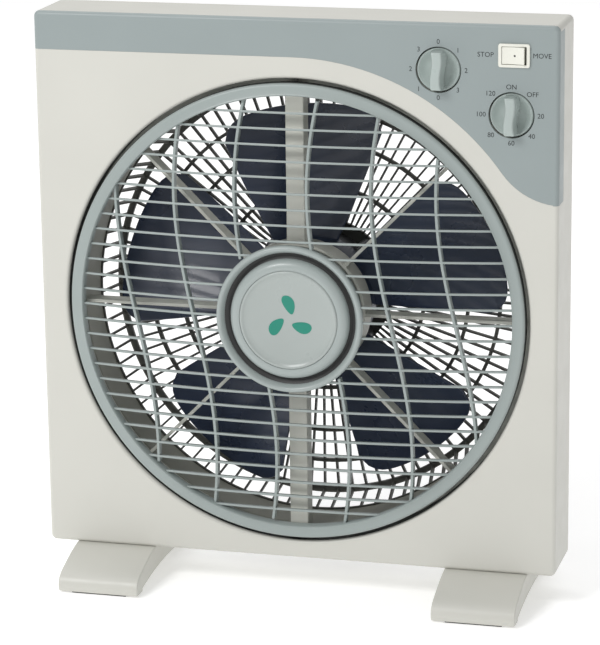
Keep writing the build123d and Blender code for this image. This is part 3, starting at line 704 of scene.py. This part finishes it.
class FAN_OT_fascia(Build, bpy.types.Operator):
    """The grey control fascia with its printed marks"""

    bl_idname = "fan.fascia"
    bl_label = "Control fascia"

    def build(self):
        fascia = fascia_skin("control_fascia")
        cut_controls(fascia)
        soften(fascia, 0.3 * MM, 2, 60)
        done(fascia, "housing", MATERIALS["fascia"], ["control_panel"])
        self.print_marks()

    def print_marks(self):
        """Speed steps, timer minutes and switch words."""
        marks = []
        height = sizes().mark_height
        for i, word in enumerate(("0", "1", "2", "3", "0", "1", "2", "3")):
            marks.append(self.word(word, polar(MARK_RING_R, 90 - 45 * i, 0, SPEED.x, SPEED.z), height))
        for i, word in enumerate(("ON", "OFF", "20", "40", "60", "80", "100", "120")):
            turn = 90 - 45 * i
            wide = MARK_RING_R + (len(word) - 1) * 0.9 * MM * abs(math.cos(math.radians(turn)))
            marks.append(self.word(word, polar(wide, turn, 0, TIMER.x, TIMER.z), height))
        marks.append(self.word("STOP", (SWITCH.x - 19.6 * MM, 0, SWITCH.z), height))
        marks.append(self.word("MOVE", (SWITCH.x + 18.9 * MM, 0, SWITCH.z), height))
        done(join(marks, "printed_marks"), "housing", MATERIALS["ink"])

    def word(self, text, place, height):
        """One printed word, a thin mesh on the fascia's face."""
        deselect()
        bpy.ops.object.text_add(
            location=(place[0], FRONT - 0.01 * MM, place[2]), rotation=(math.pi / 2, 0, 0))
        data = bpy.context.object.data
        data.body = text
        data.size = height / 0.7
        data.align_x = "CENTER"
        data.align_y = "CENTER"
        data.extrude = 0.04 * MM
        data.resolution_u = 3
        bpy.ops.object.convert(target="MESH")
        return named("mark")


class FAN_OT_grille(Build, bpy.types.Operator):
    """The rotating louvre grille: ring, a dark ring of painted shade in the gap round it, hub, slats and
    swaying ribs
    """

    bl_idname = "fan.grille"
    bl_label = "Louvre grille"

    def build(self):
        front = FRONT - 3 * MM
        back = RING_BACK
        inner = RING_IN_R
        ring = lathe("grille_ring", [
            (inner, back), (inner, front + 1.3 * MM), (inner + 0.25 * MM, front + 0.5 * MM),
            (inner + 0.8 * MM, front), (inner + 1.4 * MM, front + 0.25 * MM),
            (inner + 1.8 * MM, front + 0.55 * MM),
            (RING_R - 2.6 * MM, front + 0.25 * MM), (RING_R - 1.5 * MM, front + 0.45 * MM),
            (RING_R - 0.7 * MM, front + 1.1 * MM), (RING_R - 0.3 * MM, front + 2.0 * MM),
            (RING_R, back), (RING_R - 2 * MM, back),
            (RING_R - 2 * MM, front + 3.4 * MM), (inner + 2.2 * MM, front + 3.4 * MM),
            (inner + 2.2 * MM, back)], 192)
        shade(ring, 50)
        done(ring, "grille", MATERIALS["grille"], ["louvre_grille"])
        # A thin near-black ring just outside the grille ring: not a real part but painted shade for the gap
        # between the ring and the opening.
        gap_shade = lathe("grille_seal", [
            (RING_R - 0.6 * MM, FRONT - 0.2 * MM), (RING_R + 0.12 * MM, FRONT + 0.1 * MM),
            (RING_R + 0.12 * MM, back), (RING_R - 0.6 * MM, back)], 192)
        shade(gap_shade)
        done(gap_shade, "grille", MATERIALS["collar"])
        hub = lathe("grille_hub", [
            (50 * MM, FRONT - 10 * MM), (50 * MM, FRONT - 4 * MM), (8 * MM, FRONT - 4 * MM),
            (8 * MM, FRONT), (3 * MM, FRONT), (3 * MM, FRONT - 6 * MM), (48 * MM, FRONT - 6 * MM),
            (48 * MM, FRONT - 10 * MM)], 96)
        shade(hub)
        done(hub, "grille", MATERIALS["grille"])
        done(join(self.slats(), "louvre_slats"), "grille", MATERIALS["grille"])
        done(join(self.ribs(), "louvre_ribs"), "grille", MATERIALS["grille"])

    def slats(self):
        """Level slats on the dome, split where the hub is."""
        s = sizes()
        drop = -s.slat_depth * math.tan(s.slat_tilt)
        made = []
        for i in range(s.slat_count):
            z = (i - (s.slat_count - 1) / 2) * s.slat_pitch
            out = math.sqrt(GRILLE_EDGE_R ** 2 - z ** 2)
            spans = [(-out, out)]
            if abs(z) < GRILLE_HUB_R:
                gap = math.sqrt(GRILLE_HUB_R ** 2 - z ** 2)
                spans = [(-out, -gap), (gap, out)]
            for a, b in spans:
                steps = max(6, round((b - a) / (9 * MM)))
                xs = [a + (b - a) * k / steps for k in range(steps + 1)]
                points = [(x, dome(math.hypot(x, z)) + 0.3 * MM, FAN_Z + z) for x in xs]
                slat = strip("slat", points, (0, s.slat_depth, drop), 1.6 * MM)
                soften(slat, 0.5 * MM, 2, 50)
                made.append(slat)
        return made

    def ribs(self):
        """Six upright ribs that sway from side to side, alike after half a turn."""
        s = sizes()
        made = []
        for middle_x in RIB_X:
            points = []
            for k in range(-40, 41):
                z = RING_R * k / 40
                x = middle_x * MM - s.rib_sway * math.sin(math.pi * z / (190 * MM))
                points.append((x, z))
            runs, run = [], []
            for x, z in points:
                inside = GRILLE_HUB_R < math.hypot(x, z) < GRILLE_EDGE_R
                if inside:
                    run.append((x, dome(math.hypot(x, z)) + 0.5 * MM, FAN_Z + z))
                elif run:
                    runs.append(run)
                    run = []
            if run:
                runs.append(run)
            for run in runs:
                rib = strip("rib", run, (0, s.slat_depth, 0), 2.0 * MM)
                soften(rib, 0.5 * MM, 2, 50)
                made.append(rib)
        return made


class FAN_OT_cap(Build, bpy.types.Operator):
    """The round hub cap with its groove, and the badge plate with a petal mark"""

    bl_idname = "fan.cap"
    bl_label = "Hub cap"

    def build(self):
        front = CAP_LO.y
        r = CAP_R
        cap = lathe("hub_cap_moulding", [
            (r - 1.5 * MM, CAP_HI.y), (r - 0.3 * MM, front + 6.0 * MM), (r, front + 4.0 * MM),
            (r - 0.15 * MM, front + 2.4 * MM), (r - 0.8 * MM, front + 1.2 * MM),
            (r - 1.9 * MM, front + 0.6 * MM), (r - 3.0 * MM, front + 0.9 * MM),
            (r - 3.9 * MM, front + 1.9 * MM), (r - 4.9 * MM, front + 3.6 * MM),
            (r - 5.3 * MM, front + 4.3 * MM), (r - 5.5 * MM, front + 5.4 * MM),
            (r - 5.5 * MM, front + 7.2 * MM), (42.9 * MM, front + 7.2 * MM), (42.4 * MM, front + 4.4 * MM),
            (41.4 * MM, front + 2.3 * MM), (39.9 * MM, front + 0.9 * MM), (38.2 * MM, front + 0.2 * MM),
            (36.4 * MM, front), (35.15 * MM, front + 0.3 * MM), (35.05 * MM, front + 2.0 * MM),
            (34.0 * MM, front + 2.6 * MM), (34.0 * MM, CAP_HI.y)], 160)
        shade(cap, 50)
        done(cap, "grille", MATERIALS["cap"], ["hub_cap"])
        # A near-black ring in the cap's groove: not a real liner but painted shade for the deep groove.
        groove_shade = lathe("groove_liner", [
            (GROOVE_IN_R, front + 5.6 * MM), (44.2 * MM, front + 6.6 * MM), (r - 5.3 * MM, front + 5.2 * MM),
            (r - 5.3 * MM, front + 7.4 * MM), (GROOVE_IN_R, front + 7.4 * MM)], 128)
        shade(groove_shade)
        done(groove_shade, "grille", MATERIALS["black_plastic"])
        hollow = [(step * 2.6 * MM, self.dish(step * 2.6 * MM)) for step in range(13)]
        badge = lathe("badge_plate", hollow + [
            (32.4 * MM, front + 0.3 * MM),
            (33.0 * MM, front - 0.15 * MM), (33.7 * MM, front - 0.4 * MM), (34.4 * MM, front - 0.1 * MM),
            (BADGE_R, front + 0.6 * MM), (BADGE_R, front + 2.0 * MM), (0, front + 5.0 * MM)],
            128, closed=False)
        shade(badge, 50)
        done(badge, "grille", MATERIALS["badge"], ["hub_disc"])
        petals = []
        for i in range(3):
            outline = []
            for k in range(24):
                turn = 2 * math.pi * k / 24
                length = 13.5 * MM * (1 + math.cos(turn)) / 2 + 3.6 * MM
                side = 4.2 * MM * math.sin(turn) * (1 + 0.35 * math.cos(turn))
                bend = 1.8 * MM * math.cos(turn)
                outline.append((length, 0, FAN_Z + side + bend))
            petal = prism("petal", outline, (0, 0.25 * MM, 0))
            edit(petal)
            bpy.ops.mesh.subdivide(number_cuts=1)
            bpy.ops.object.mode_set(mode="OBJECT")
            for vertex in petal.data.vertices:
                vertex.co.y += self.dish(math.hypot(vertex.co.x, vertex.co.z - FAN_Z)) - 0.12 * MM
            petal.data.transform(about_fan(90 + 120 * i))
            petals.append(petal)
        done(join(petals, "petal_mark"), "grille", MATERIALS["emblem"])

    def dish(self, radius):
        """The front of the badge plate's hollow face at a radius."""
        return CAP_LO.y + 3.2 * MM - 2.4 * MM * (radius / (31.2 * MM)) ** 2


class FAN_OT_spider(Build, bpy.types.Operator):
    """The fixed cross behind the grille"""

    bl_idname = "fan.spider"
    bl_label = "Front spider"

    def build(self):
        front = SPIDER_FRONT
        back = front + SPIDER_DEPTH
        cup = lathe("cup", [
            (46.8 * MM, front - MM), (47.6 * MM, front - 1.6 * MM), (CUP_R, front - 0.6 * MM),
            (CUP_R, CUP_BACK - 2.5 * MM), (46.5 * MM, CUP_BACK), (0, CUP_BACK), (0, CUP_BACK - 2 * MM),
            (45.6 * MM, CUP_BACK - 2 * MM), (46.8 * MM, CUP_BACK - 3.4 * MM)], 96)
        shade(cup, 45)
        flange = lathe("flange", [
            (DUCT_R, COLLAR_END), (171 * MM, COLLAR_END), (171 * MM, COLLAR_END + 2.5 * MM),
            (DUCT_R, COLLAR_END + 2.5 * MM)], 160)
        shade(flange)
        parts = [cup, flange]
        for angle in (0, 45, 135, 180, 225, 315):
            arm = block("arm", (46 * MM, front, FAN_Z - 1.2 * MM), (SPIDER_REACH, back, FAN_Z + 1.2 * MM))
            soften(arm, 0.5 * MM, 2)
            arm.data.transform(about_fan(angle))
            parts.append(arm)
        for angle in (90, 270):
            bar = block("bar", (46 * MM, front - MM, FAN_Z - 6.6 * MM),
                        (SPIDER_REACH, back, FAN_Z + 6.6 * MM))
            edit(bar)
            pick(bar, "faces", lambda f: f.normal.y > 0.9)
            bpy.ops.mesh.inset(thickness=2.4 * MM)
            bpy.ops.mesh.extrude_region_move(TRANSFORM_OT_translate={"value": (0, -10.5 * MM, 0)})
            outward()
            soften(bar, 0.9 * MM, 3)
            bar.data.transform(about_fan(angle))
            parts.append(bar)
        done(join(parts, "fixed_spider"), "housing", MATERIALS["spider"], ["front_spider"])


class FAN_OT_blade(Build, bpy.types.Operator):
    """The five-bladed impeller"""

    bl_idname = "fan.blade"
    bl_label = "Blade"

    def build(self):
        s = sizes()
        front = WHEEL_FRONT
        hub = lathe("blade_hub", [
            (4 * MM, front + 4 * MM), (9 * MM, front + 4 * MM), (13.5 * MM, front + 4 * MM),
            (14.5 * MM, front + 0.6 * MM), (17 * MM, front), (41.5 * MM, front),
            (44.2 * MM, front + 0.9 * MM),
            (WHEEL_R, front + 3.4 * MM), (WHEEL_R, WHEEL_BACK), (42.5 * MM, WHEEL_BACK),
            (42.5 * MM, front + 7 * MM), (9 * MM, front + 7 * MM), (9 * MM, front + 16 * MM),
            (4 * MM, front + 16 * MM)], 128)
        shade(hub, 35)
        parts = [hub]
        sample = self.one_blade()
        for i in range(s.blade_count):
            parts.append(twin(sample, "blade", about_fan(BLADE_FIRST + 360 / s.blade_count * i)))
        bpy.data.objects.remove(sample)
        done(join(parts, "navy_impeller"), "blade", MATERIALS["blade"], ["fan_blade"])

    def one_blade(self):
        """A twisted, slightly hollow sheet along +X, round at its outer corners."""
        root, tip = WHEEL_R - 1.8 * MM, BLADE_TIP_R
        across, along = 24, 26
        deselect()
        bpy.ops.mesh.primitive_grid_add(x_subdivisions=along, y_subdivisions=across, size=2)
        blade = named("blade")
        for vertex in blade.data.vertices:
            u = (vertex.co.x + 1) / 2
            v = vertex.co.y
            limit = tip - 13 * MM * abs(v) ** 9
            radius = root + (limit - root) * u
            share = (radius - root) / (tip - root)
            half = math.radians(26 - 1.5 * share)
            turn = v * half
            side = radius * math.sin(turn)
            pitch = math.radians(28 - 12 * share)
            hollow = 3.2 * MM * share * (1 - v * v)
            y = FRONT + (45 + 5 * share) * MM - side * math.tan(pitch) + hollow
            vertex.co = (radius * math.cos(turn), y, FAN_Z + side)
        modify(blade, "SOLIDIFY", thickness=BLADE_T, offset=0)
        edit(blade)
        outward()
        soften(blade, 0.7 * MM, 2, 50)
        return blade


class FAN_OT_guard(Build, bpy.types.Operator):
    """The basket guard behind the blade"""

    bl_idname = "fan.guard"
    bl_label = "Rear guard"

    def build(self):
        face = PANEL_HI.y
        back = GUARD_BACK
        rib_front = back - 4 * MM
        parts = [lathe("rim", [
            (158 * MM, face), (GUARD_R, face), (GUARD_R, face + 1.4 * MM),
            (GUARD_R - 0.8 * MM, face + 2.2 * MM), (158 * MM, face + 2.2 * MM)], 160)]
        for radius, width in GUARD_RINGS:
            low, high = (radius - width / 2) * MM, (radius + width / 2) * MM
            parts.append(lathe("ring", [
                (low, rib_front + 0.4 * MM), (low + 0.5 * MM, rib_front - 0.1 * MM),
                (high - 0.5 * MM, rib_front - 0.1 * MM), (high, rib_front + 0.4 * MM),
                (high, back - 0.4 * MM), (high - 0.5 * MM, back + 0.1 * MM),
                (low + 0.5 * MM, back + 0.1 * MM), (low, back - 0.4 * MM)], 144))
        seat = GUARD_SEAT
        parts.append(lathe("seat", [
            (39.5 * MM, seat), (51 * MM, seat), (51 * MM, back + MM), (39.5 * MM, back + MM)], 96))
        for part in parts:
            shade(part, 50)
        half = 0.7 * MM
        outer = GUARD_EDGE_R
        y_z = [(49 * MM, seat), (53 * MM, seat), (59 * MM, rib_front), (outer - 3 * MM, rib_front),
               (158 * MM, face), (161 * MM, face), (outer, back - 1.2 * MM), (outer - 1.5 * MM, back),
               (49 * MM, back)]
        rib = prism("rib", [(r, y, FAN_Z - half) for r, y in y_z], (0, 0, 2 * half))
        soften(rib, 0.35 * MM, 1)
        count = sizes().guard_ribs
        parts += [twin(rib, "rib", about_fan(360 / count * (i + 0.5))) for i in range(count)]
        bpy.data.objects.remove(rib)
        done(join(parts, "guard_basket"), "housing", MATERIALS["guard"], ["rear_guard"])


class FAN_OT_panel(Build, bpy.types.Operator):
    """The rear panel with the duct round the blade"""

    bl_idname = "fan.panel"
    bl_label = "Rear panel"

    def build(self):
        front, back = PANEL_HI.y - 2.5 * MM, PANEL_HI.y
        panel = block("duct_panel", (PANEL_LO.x, front, PANEL_LO.z), (PANEL_HI.x, back, PANEL_HI.z))
        edit(panel)
        bevel(panel, along_y, 4 * MM, 4)
        outward()
        combine(panel, rod("cutter", DUCT_R, front - MM, back + MM, vertices=192), "DIFFERENCE")
        gland = middle("cord_gland")
        combine(panel, rod("cutter", 6 * MM, front - MM, back + MM, gland.x, gland.z, 48), "DIFFERENCE")
        for i in range(9):
            for side in (-1, 1):
                for top in (-1, 1):
                    low = Vector((side * 150 * MM, 0, FAN_Z + top * 150 * MM))
                    low.x += side * (i - 4) * 3.6 * MM
                    low.z += top * 6 * MM
                    groove = block("cutter", (low.x - 0.7 * MM, back - 0.8 * MM, low.z - 14 * MM),
                                   (low.x + 0.7 * MM, back + MM, low.z + 14 * MM))
                    combine(panel, groove, "DIFFERENCE")
        soften(panel, 0.4 * MM, 2, 50)
        duct = lathe("duct", [
            (DUCT_R, PANEL_LO.y + 0.6 * MM), (DUCT_R + 0.6 * MM, PANEL_LO.y), (DUCT_R + 2.2 * MM, PANEL_LO.y),
            (DUCT_R + 2.2 * MM, front + 0.5 * MM), (DUCT_R, front + 0.5 * MM)], 192)
        shade(duct)
        done(join([panel, duct], "duct_panel"), "housing", MATERIALS["duct"], ["rear_panel"])


class FAN_OT_knobs(Build, bpy.types.Operator):
    """The two dial knobs with their swaying grips"""

    bl_idname = "fan.knobs"
    bl_label = "Knobs"

    def build(self):
        for name, knob, body, node in (("speed_dial_knob", SPEED, "speed_dial", "speed_knob"),
                                       ("timer_dial_knob", TIMER, "timer_dial", "timer_knob")):
            face = FRONT + 0.8 * MM
            floor = FRONT + 9.4 * MM
            disc = lathe("disc", [
                (3 * MM, floor), (KNOB_R - 0.6 * MM, floor), (KNOB_R, floor - MM), (KNOB_R, face + MM),
                (KNOB_R - 0.25 * MM, face + 0.35 * MM), (KNOB_R - 0.8 * MM, face),
                (KNOB_R - 1.4 * MM, face + 0.3 * MM),
                (KNOB_R - 3.0 * MM, face + 2.0 * MM), (KNOB_R - 5.5 * MM, face + 3.5 * MM),
                (6 * MM, face + 4.3 * MM), (0, face + 4.4 * MM)], 72, knob.x, knob.z, closed=False)
            shade(disc, 50)
            grip = self.grip(knob, face)
            done(join([disc, grip], name), body, MATERIALS["knob"], [node])

    def grip(self, knob, face):
        """The raised bar across the knob: its sloping sides sway in an S and its ends follow the rim."""
        steps = 16
        base = face + 4.4 * MM
        top = face - 9.4 * MM
        sides = []
        for side in (-1, 1):
            run = []
            for k in range(steps + 1):
                t = 2 * k / steps - 1
                x = side * 4.9 * MM + 0.9 * MM * math.sin(math.pi * t) - side * 0.7 * MM * (1 - t * t)
                reach = math.sqrt((KNOB_R - 0.5 * MM) ** 2 - (side * 4.9 * MM) ** 2)
                run.append((knob.x + x, base, knob.z + reach * t))
            sides.append(run)
        bar = prism("grip", sides[0] + sides[1][::-1], (0, top - base, 0))
        edit(bar)
        pick(bar, "faces", lambda f: all(v.co.y < top + 1e-5 for v in f.verts))
        bpy.ops.transform.resize(value=(0.74, 1, 0.95), center_override=(knob.x, top, knob.z))
        outward()
        soften(bar, 1.2 * MM, 4, 50)
        return bar


class FAN_OT_switch(Build, bpy.types.Operator):
    """The rocker switch: bezel, case and key"""

    bl_idname = "fan.switch"
    bl_label = "Rocker switch"

    def build(self):
        low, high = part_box("switch_body")
        bezel = block("switch_bezel", (low.x, FRONT - 1.4 * MM, low.z), (high.x, FRONT, high.z))
        edit(bezel)
        bevel(bezel, along_y, 1.5 * MM, 4)
        outward()
        case = block("cutter", (SWITCH.x - 9.5 * MM, FRONT - 0.5 * MM, SWITCH.z - 6.8 * MM),
                     (SWITCH.x + 9.5 * MM, FRONT + 20 * MM, SWITCH.z + 6.8 * MM))
        combine(bezel, case, "UNION")
        well = block("cutter", (SWITCH.x - 8.5 * MM, FRONT - 5 * MM, SWITCH.z - 6.1 * MM),
                     (SWITCH.x + 8.5 * MM, FRONT + 9 * MM, SWITCH.z + 6.1 * MM))
        combine(bezel, well, "DIFFERENCE")
        soften(bezel, 0.4 * MM, 3, 50)
        blades = []
        for x in (-5.0, 5.0):
            tab = block("tab", (SWITCH.x + (x - 0.4) * MM, FRONT + 19 * MM, SWITCH.z - 2.4 * MM),
                        (SWITCH.x + (x + 0.4) * MM, high.y, SWITCH.z + 2.4 * MM))
            soften(tab, 0.2 * MM, 1)
            blades.append(tab)
        done(join([bezel] + blades, "switch_bezel"), "housing", MATERIALS["switch_white"],
             ["switch_body"])
        self.key()

    def key(self):
        """The key, stored with its left half pressed, and a dot on its right half."""
        half = 7.8
        tilt = Matrix.Rotation(math.radians(-7), 4, "Z")
        pivot = Matrix.Translation((SWITCH.x, FRONT + 2 * MM, SWITCH.z))
        outline = [(-half, -4.4), (-4.6, -3.65), (0, -3.4), (4.6, -3.65), (half, -4.4), (half - 0.6, 1.0),
                   (0, 3.2), (-half + 0.6, 1.0)]
        key = prism("rocker_key", [(x * MM, y * MM, -5.8 * MM) for x, y in outline], (0, 0, 11.6 * MM))
        soften(key, 0.45 * MM, 3, 20)
        key.data.transform(pivot @ tilt)
        done(key, "move_rocker", MATERIALS["switch_white"], ["rocker"])
        dot = lathe("rocker_dot", [(0, -3.56 * MM), (0.62 * MM, -3.56 * MM), (0.7 * MM, -3.48 * MM),
                                   (0.7 * MM, -3.1 * MM)], 24, 1.0 * MM, 0, closed=False)
        dot.data.transform(pivot @ tilt)
        done(dot, "move_rocker", MATERIALS["ink"])


class FAN_OT_feet(Build, bpy.types.Operator):
    """The two long arched feet"""

    bl_idname = "fan.feet"
    bl_label = "Feet"

    def build(self):
        for name, node in (("left_shoe", "left_foot"), ("right_shoe", "right_foot")):
            low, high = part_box(node)
            toe = high.y
            pad = toe - 13.5 * MM
            top = high.z
            ground = low.z
            half = [(pad, ground), (toe - 0.9 * MM, ground), (toe - 0.1 * MM, ground + 2.2 * MM),
                    (toe, ground + 4.6 * MM), (toe - 0.7 * MM, ground + 7.6 * MM),
                    (toe - 2.6 * MM, ground + 10.2 * MM),
                    (toe - 5.6 * MM, ground + 12.3 * MM), (toe - 9.6 * MM, ground + 14.0 * MM),
                    (toe - 15 * MM, ground + 15.8 * MM), (toe - 22 * MM, ground + 18.0 * MM),
                    (toe - 30 * MM, ground + 20.3 * MM), (toe - 38 * MM, ground + 22.0 * MM),
                    (BACK - MM, top)]
            arch = []
            for k in range(13):
                y = pad * (1 - k / 6)
                arch.append((y, ground + 2 * MM + 5 * MM * (1 - (y / pad) ** 2)))
            profile = half + [(-y, z) for y, z in half[::-1]] + arch[::-1]
            shoe = prism(name, [(low.x, y, z) for y, z in profile], (high.x - low.x, 0, 0))
            soften(shoe, 1.0 * MM, 3, 30)
            done(shoe, "housing", MATERIALS["housing"], [node])


class FAN_OT_stage(Build, bpy.types.Operator):
    """Floor, studio light and camera"""

    bl_idname = "fan.stage"
    bl_label = "Stage"

    def build(self):
        deselect()
        bpy.ops.mesh.primitive_plane_add(size=30, location=(0, 1.0, CAD_BOX[0].z))
        floor = named("floor")
        material, tree, shader, place = surface("pale_floor")
        shade_of_floor = tint(tree, (0.93, 0.93, 0.93), 0.01, noise(tree, place, 3))
        tree.links.new(shade_of_floor, shader.inputs["Base Color"])
        shader.inputs["Roughness"].default_value = 0.8
        shader.inputs["Emission Color"].default_value = (1, 1, 1, 1)
        shader.inputs["Emission Strength"].default_value = 0.32
        floor.data.materials.append(material)
        world = bpy.data.worlds.new("studio")
        bpy.context.scene.world = world
        world.use_nodes = True
        sky = world.node_tree.nodes["Background"]
        sky.inputs["Color"].default_value = (1, 1, 1, 1)
        sky.inputs["Strength"].default_value = 0.50
        self.lamp("key_light", (-0.9, -1.5, 1.7), 0.8, 22)
        self.lamp("top_light", (-0.6, 1.2, 2.8), 3.0, 35)
        self.camera()
        bpy.context.scene.view_settings.view_transform = "Standard"

    def lamp(self, name, place, size, power):
        """A soft square lamp that looks at the fan."""
        deselect()
        bpy.ops.object.light_add(type="AREA", location=place)
        lamp = bpy.context.object
        lamp.name = lamp.data.name = name
        lamp.data.size = size
        lamp.data.energy = power
        aim = Vector((0, 0, FAN_Z)) - Vector(place)
        lamp.rotation_euler = aim.to_track_quat("-Z", "Y").to_euler()

    def camera(self):
        """A long lens to the right of the fan and above it, looking down at it."""
        turn, drop, roll = math.radians(15.035), math.radians(14.786), math.radians(-0.712)
        level = Vector((math.cos(turn), math.sin(turn), 0))
        ahead = Vector((-math.sin(turn) * math.cos(drop), math.cos(turn) * math.cos(drop), -math.sin(drop)))
        above = level.cross(ahead)
        right = level * math.cos(roll) + above * math.sin(roll)
        up = right.cross(ahead)
        data = bpy.data.cameras.new("camera")
        data.lens = 170.23
        data.clip_end = 20
        camera = bpy.data.objects.new("camera", data)
        camera.matrix_world = Matrix.Translation((0.5355, FRONT - 1.9791, BOTTOM + 0.7140)) @ Matrix(
            (right, up, -ahead)).transposed().to_4x4()
        bpy.context.scene.collection.objects.link(camera)
        bpy.context.scene.camera = camera


OPERATORS = (FAN_OT_materials, FAN_OT_stage, FAN_OT_housing, FAN_OT_fascia, FAN_OT_grille, FAN_OT_cap,
             FAN_OT_spider, FAN_OT_blade, FAN_OT_guard, FAN_OT_panel, FAN_OT_knobs, FAN_OT_switch,
             FAN_OT_feet)


class FAN_PT_panel(bpy.types.Panel):
    """The fan's settings and its pieces in the 3D view's sidebar"""

    bl_label = "Box fan"
    bl_space_type = "VIEW_3D"
    bl_region_type = "UI"
    bl_category = "Box fan"

    def draw(self, context):
        """List the settings and the operators."""
        for group in (context.scene.fan_sizes, context.scene.fan_colours):
            for key in group.__annotations__:
                self.layout.prop(group, key)
        for operator in OPERATORS:
            self.layout.operator(operator.bl_idname)


CLASSES = (FanSizes, FanColours, *OPERATORS, FAN_PT_panel)


def register():
    """Register the classes and hang the settings on the scene."""
    for cls in CLASSES:
        bpy.utils.register_class(cls)
    bpy.types.Scene.fan_sizes = bpy.props.PointerProperty(type=FanSizes)
    bpy.types.Scene.fan_colours = bpy.props.PointerProperty(type=FanColours)


def unregister():
    """Take the settings and the classes away again."""
    del bpy.types.Scene.fan_colours
    del bpy.types.Scene.fan_sizes
    for cls in reversed(CLASSES):
        bpy.utils.unregister_class(cls)


def main():
    """Build the fan in order."""
    register()
    for operator in OPERATORS:
        group, name = operator.bl_idname.split(".")
        getattr(getattr(bpy.ops, group), name)()


if __name__ == "__main__":
    main()
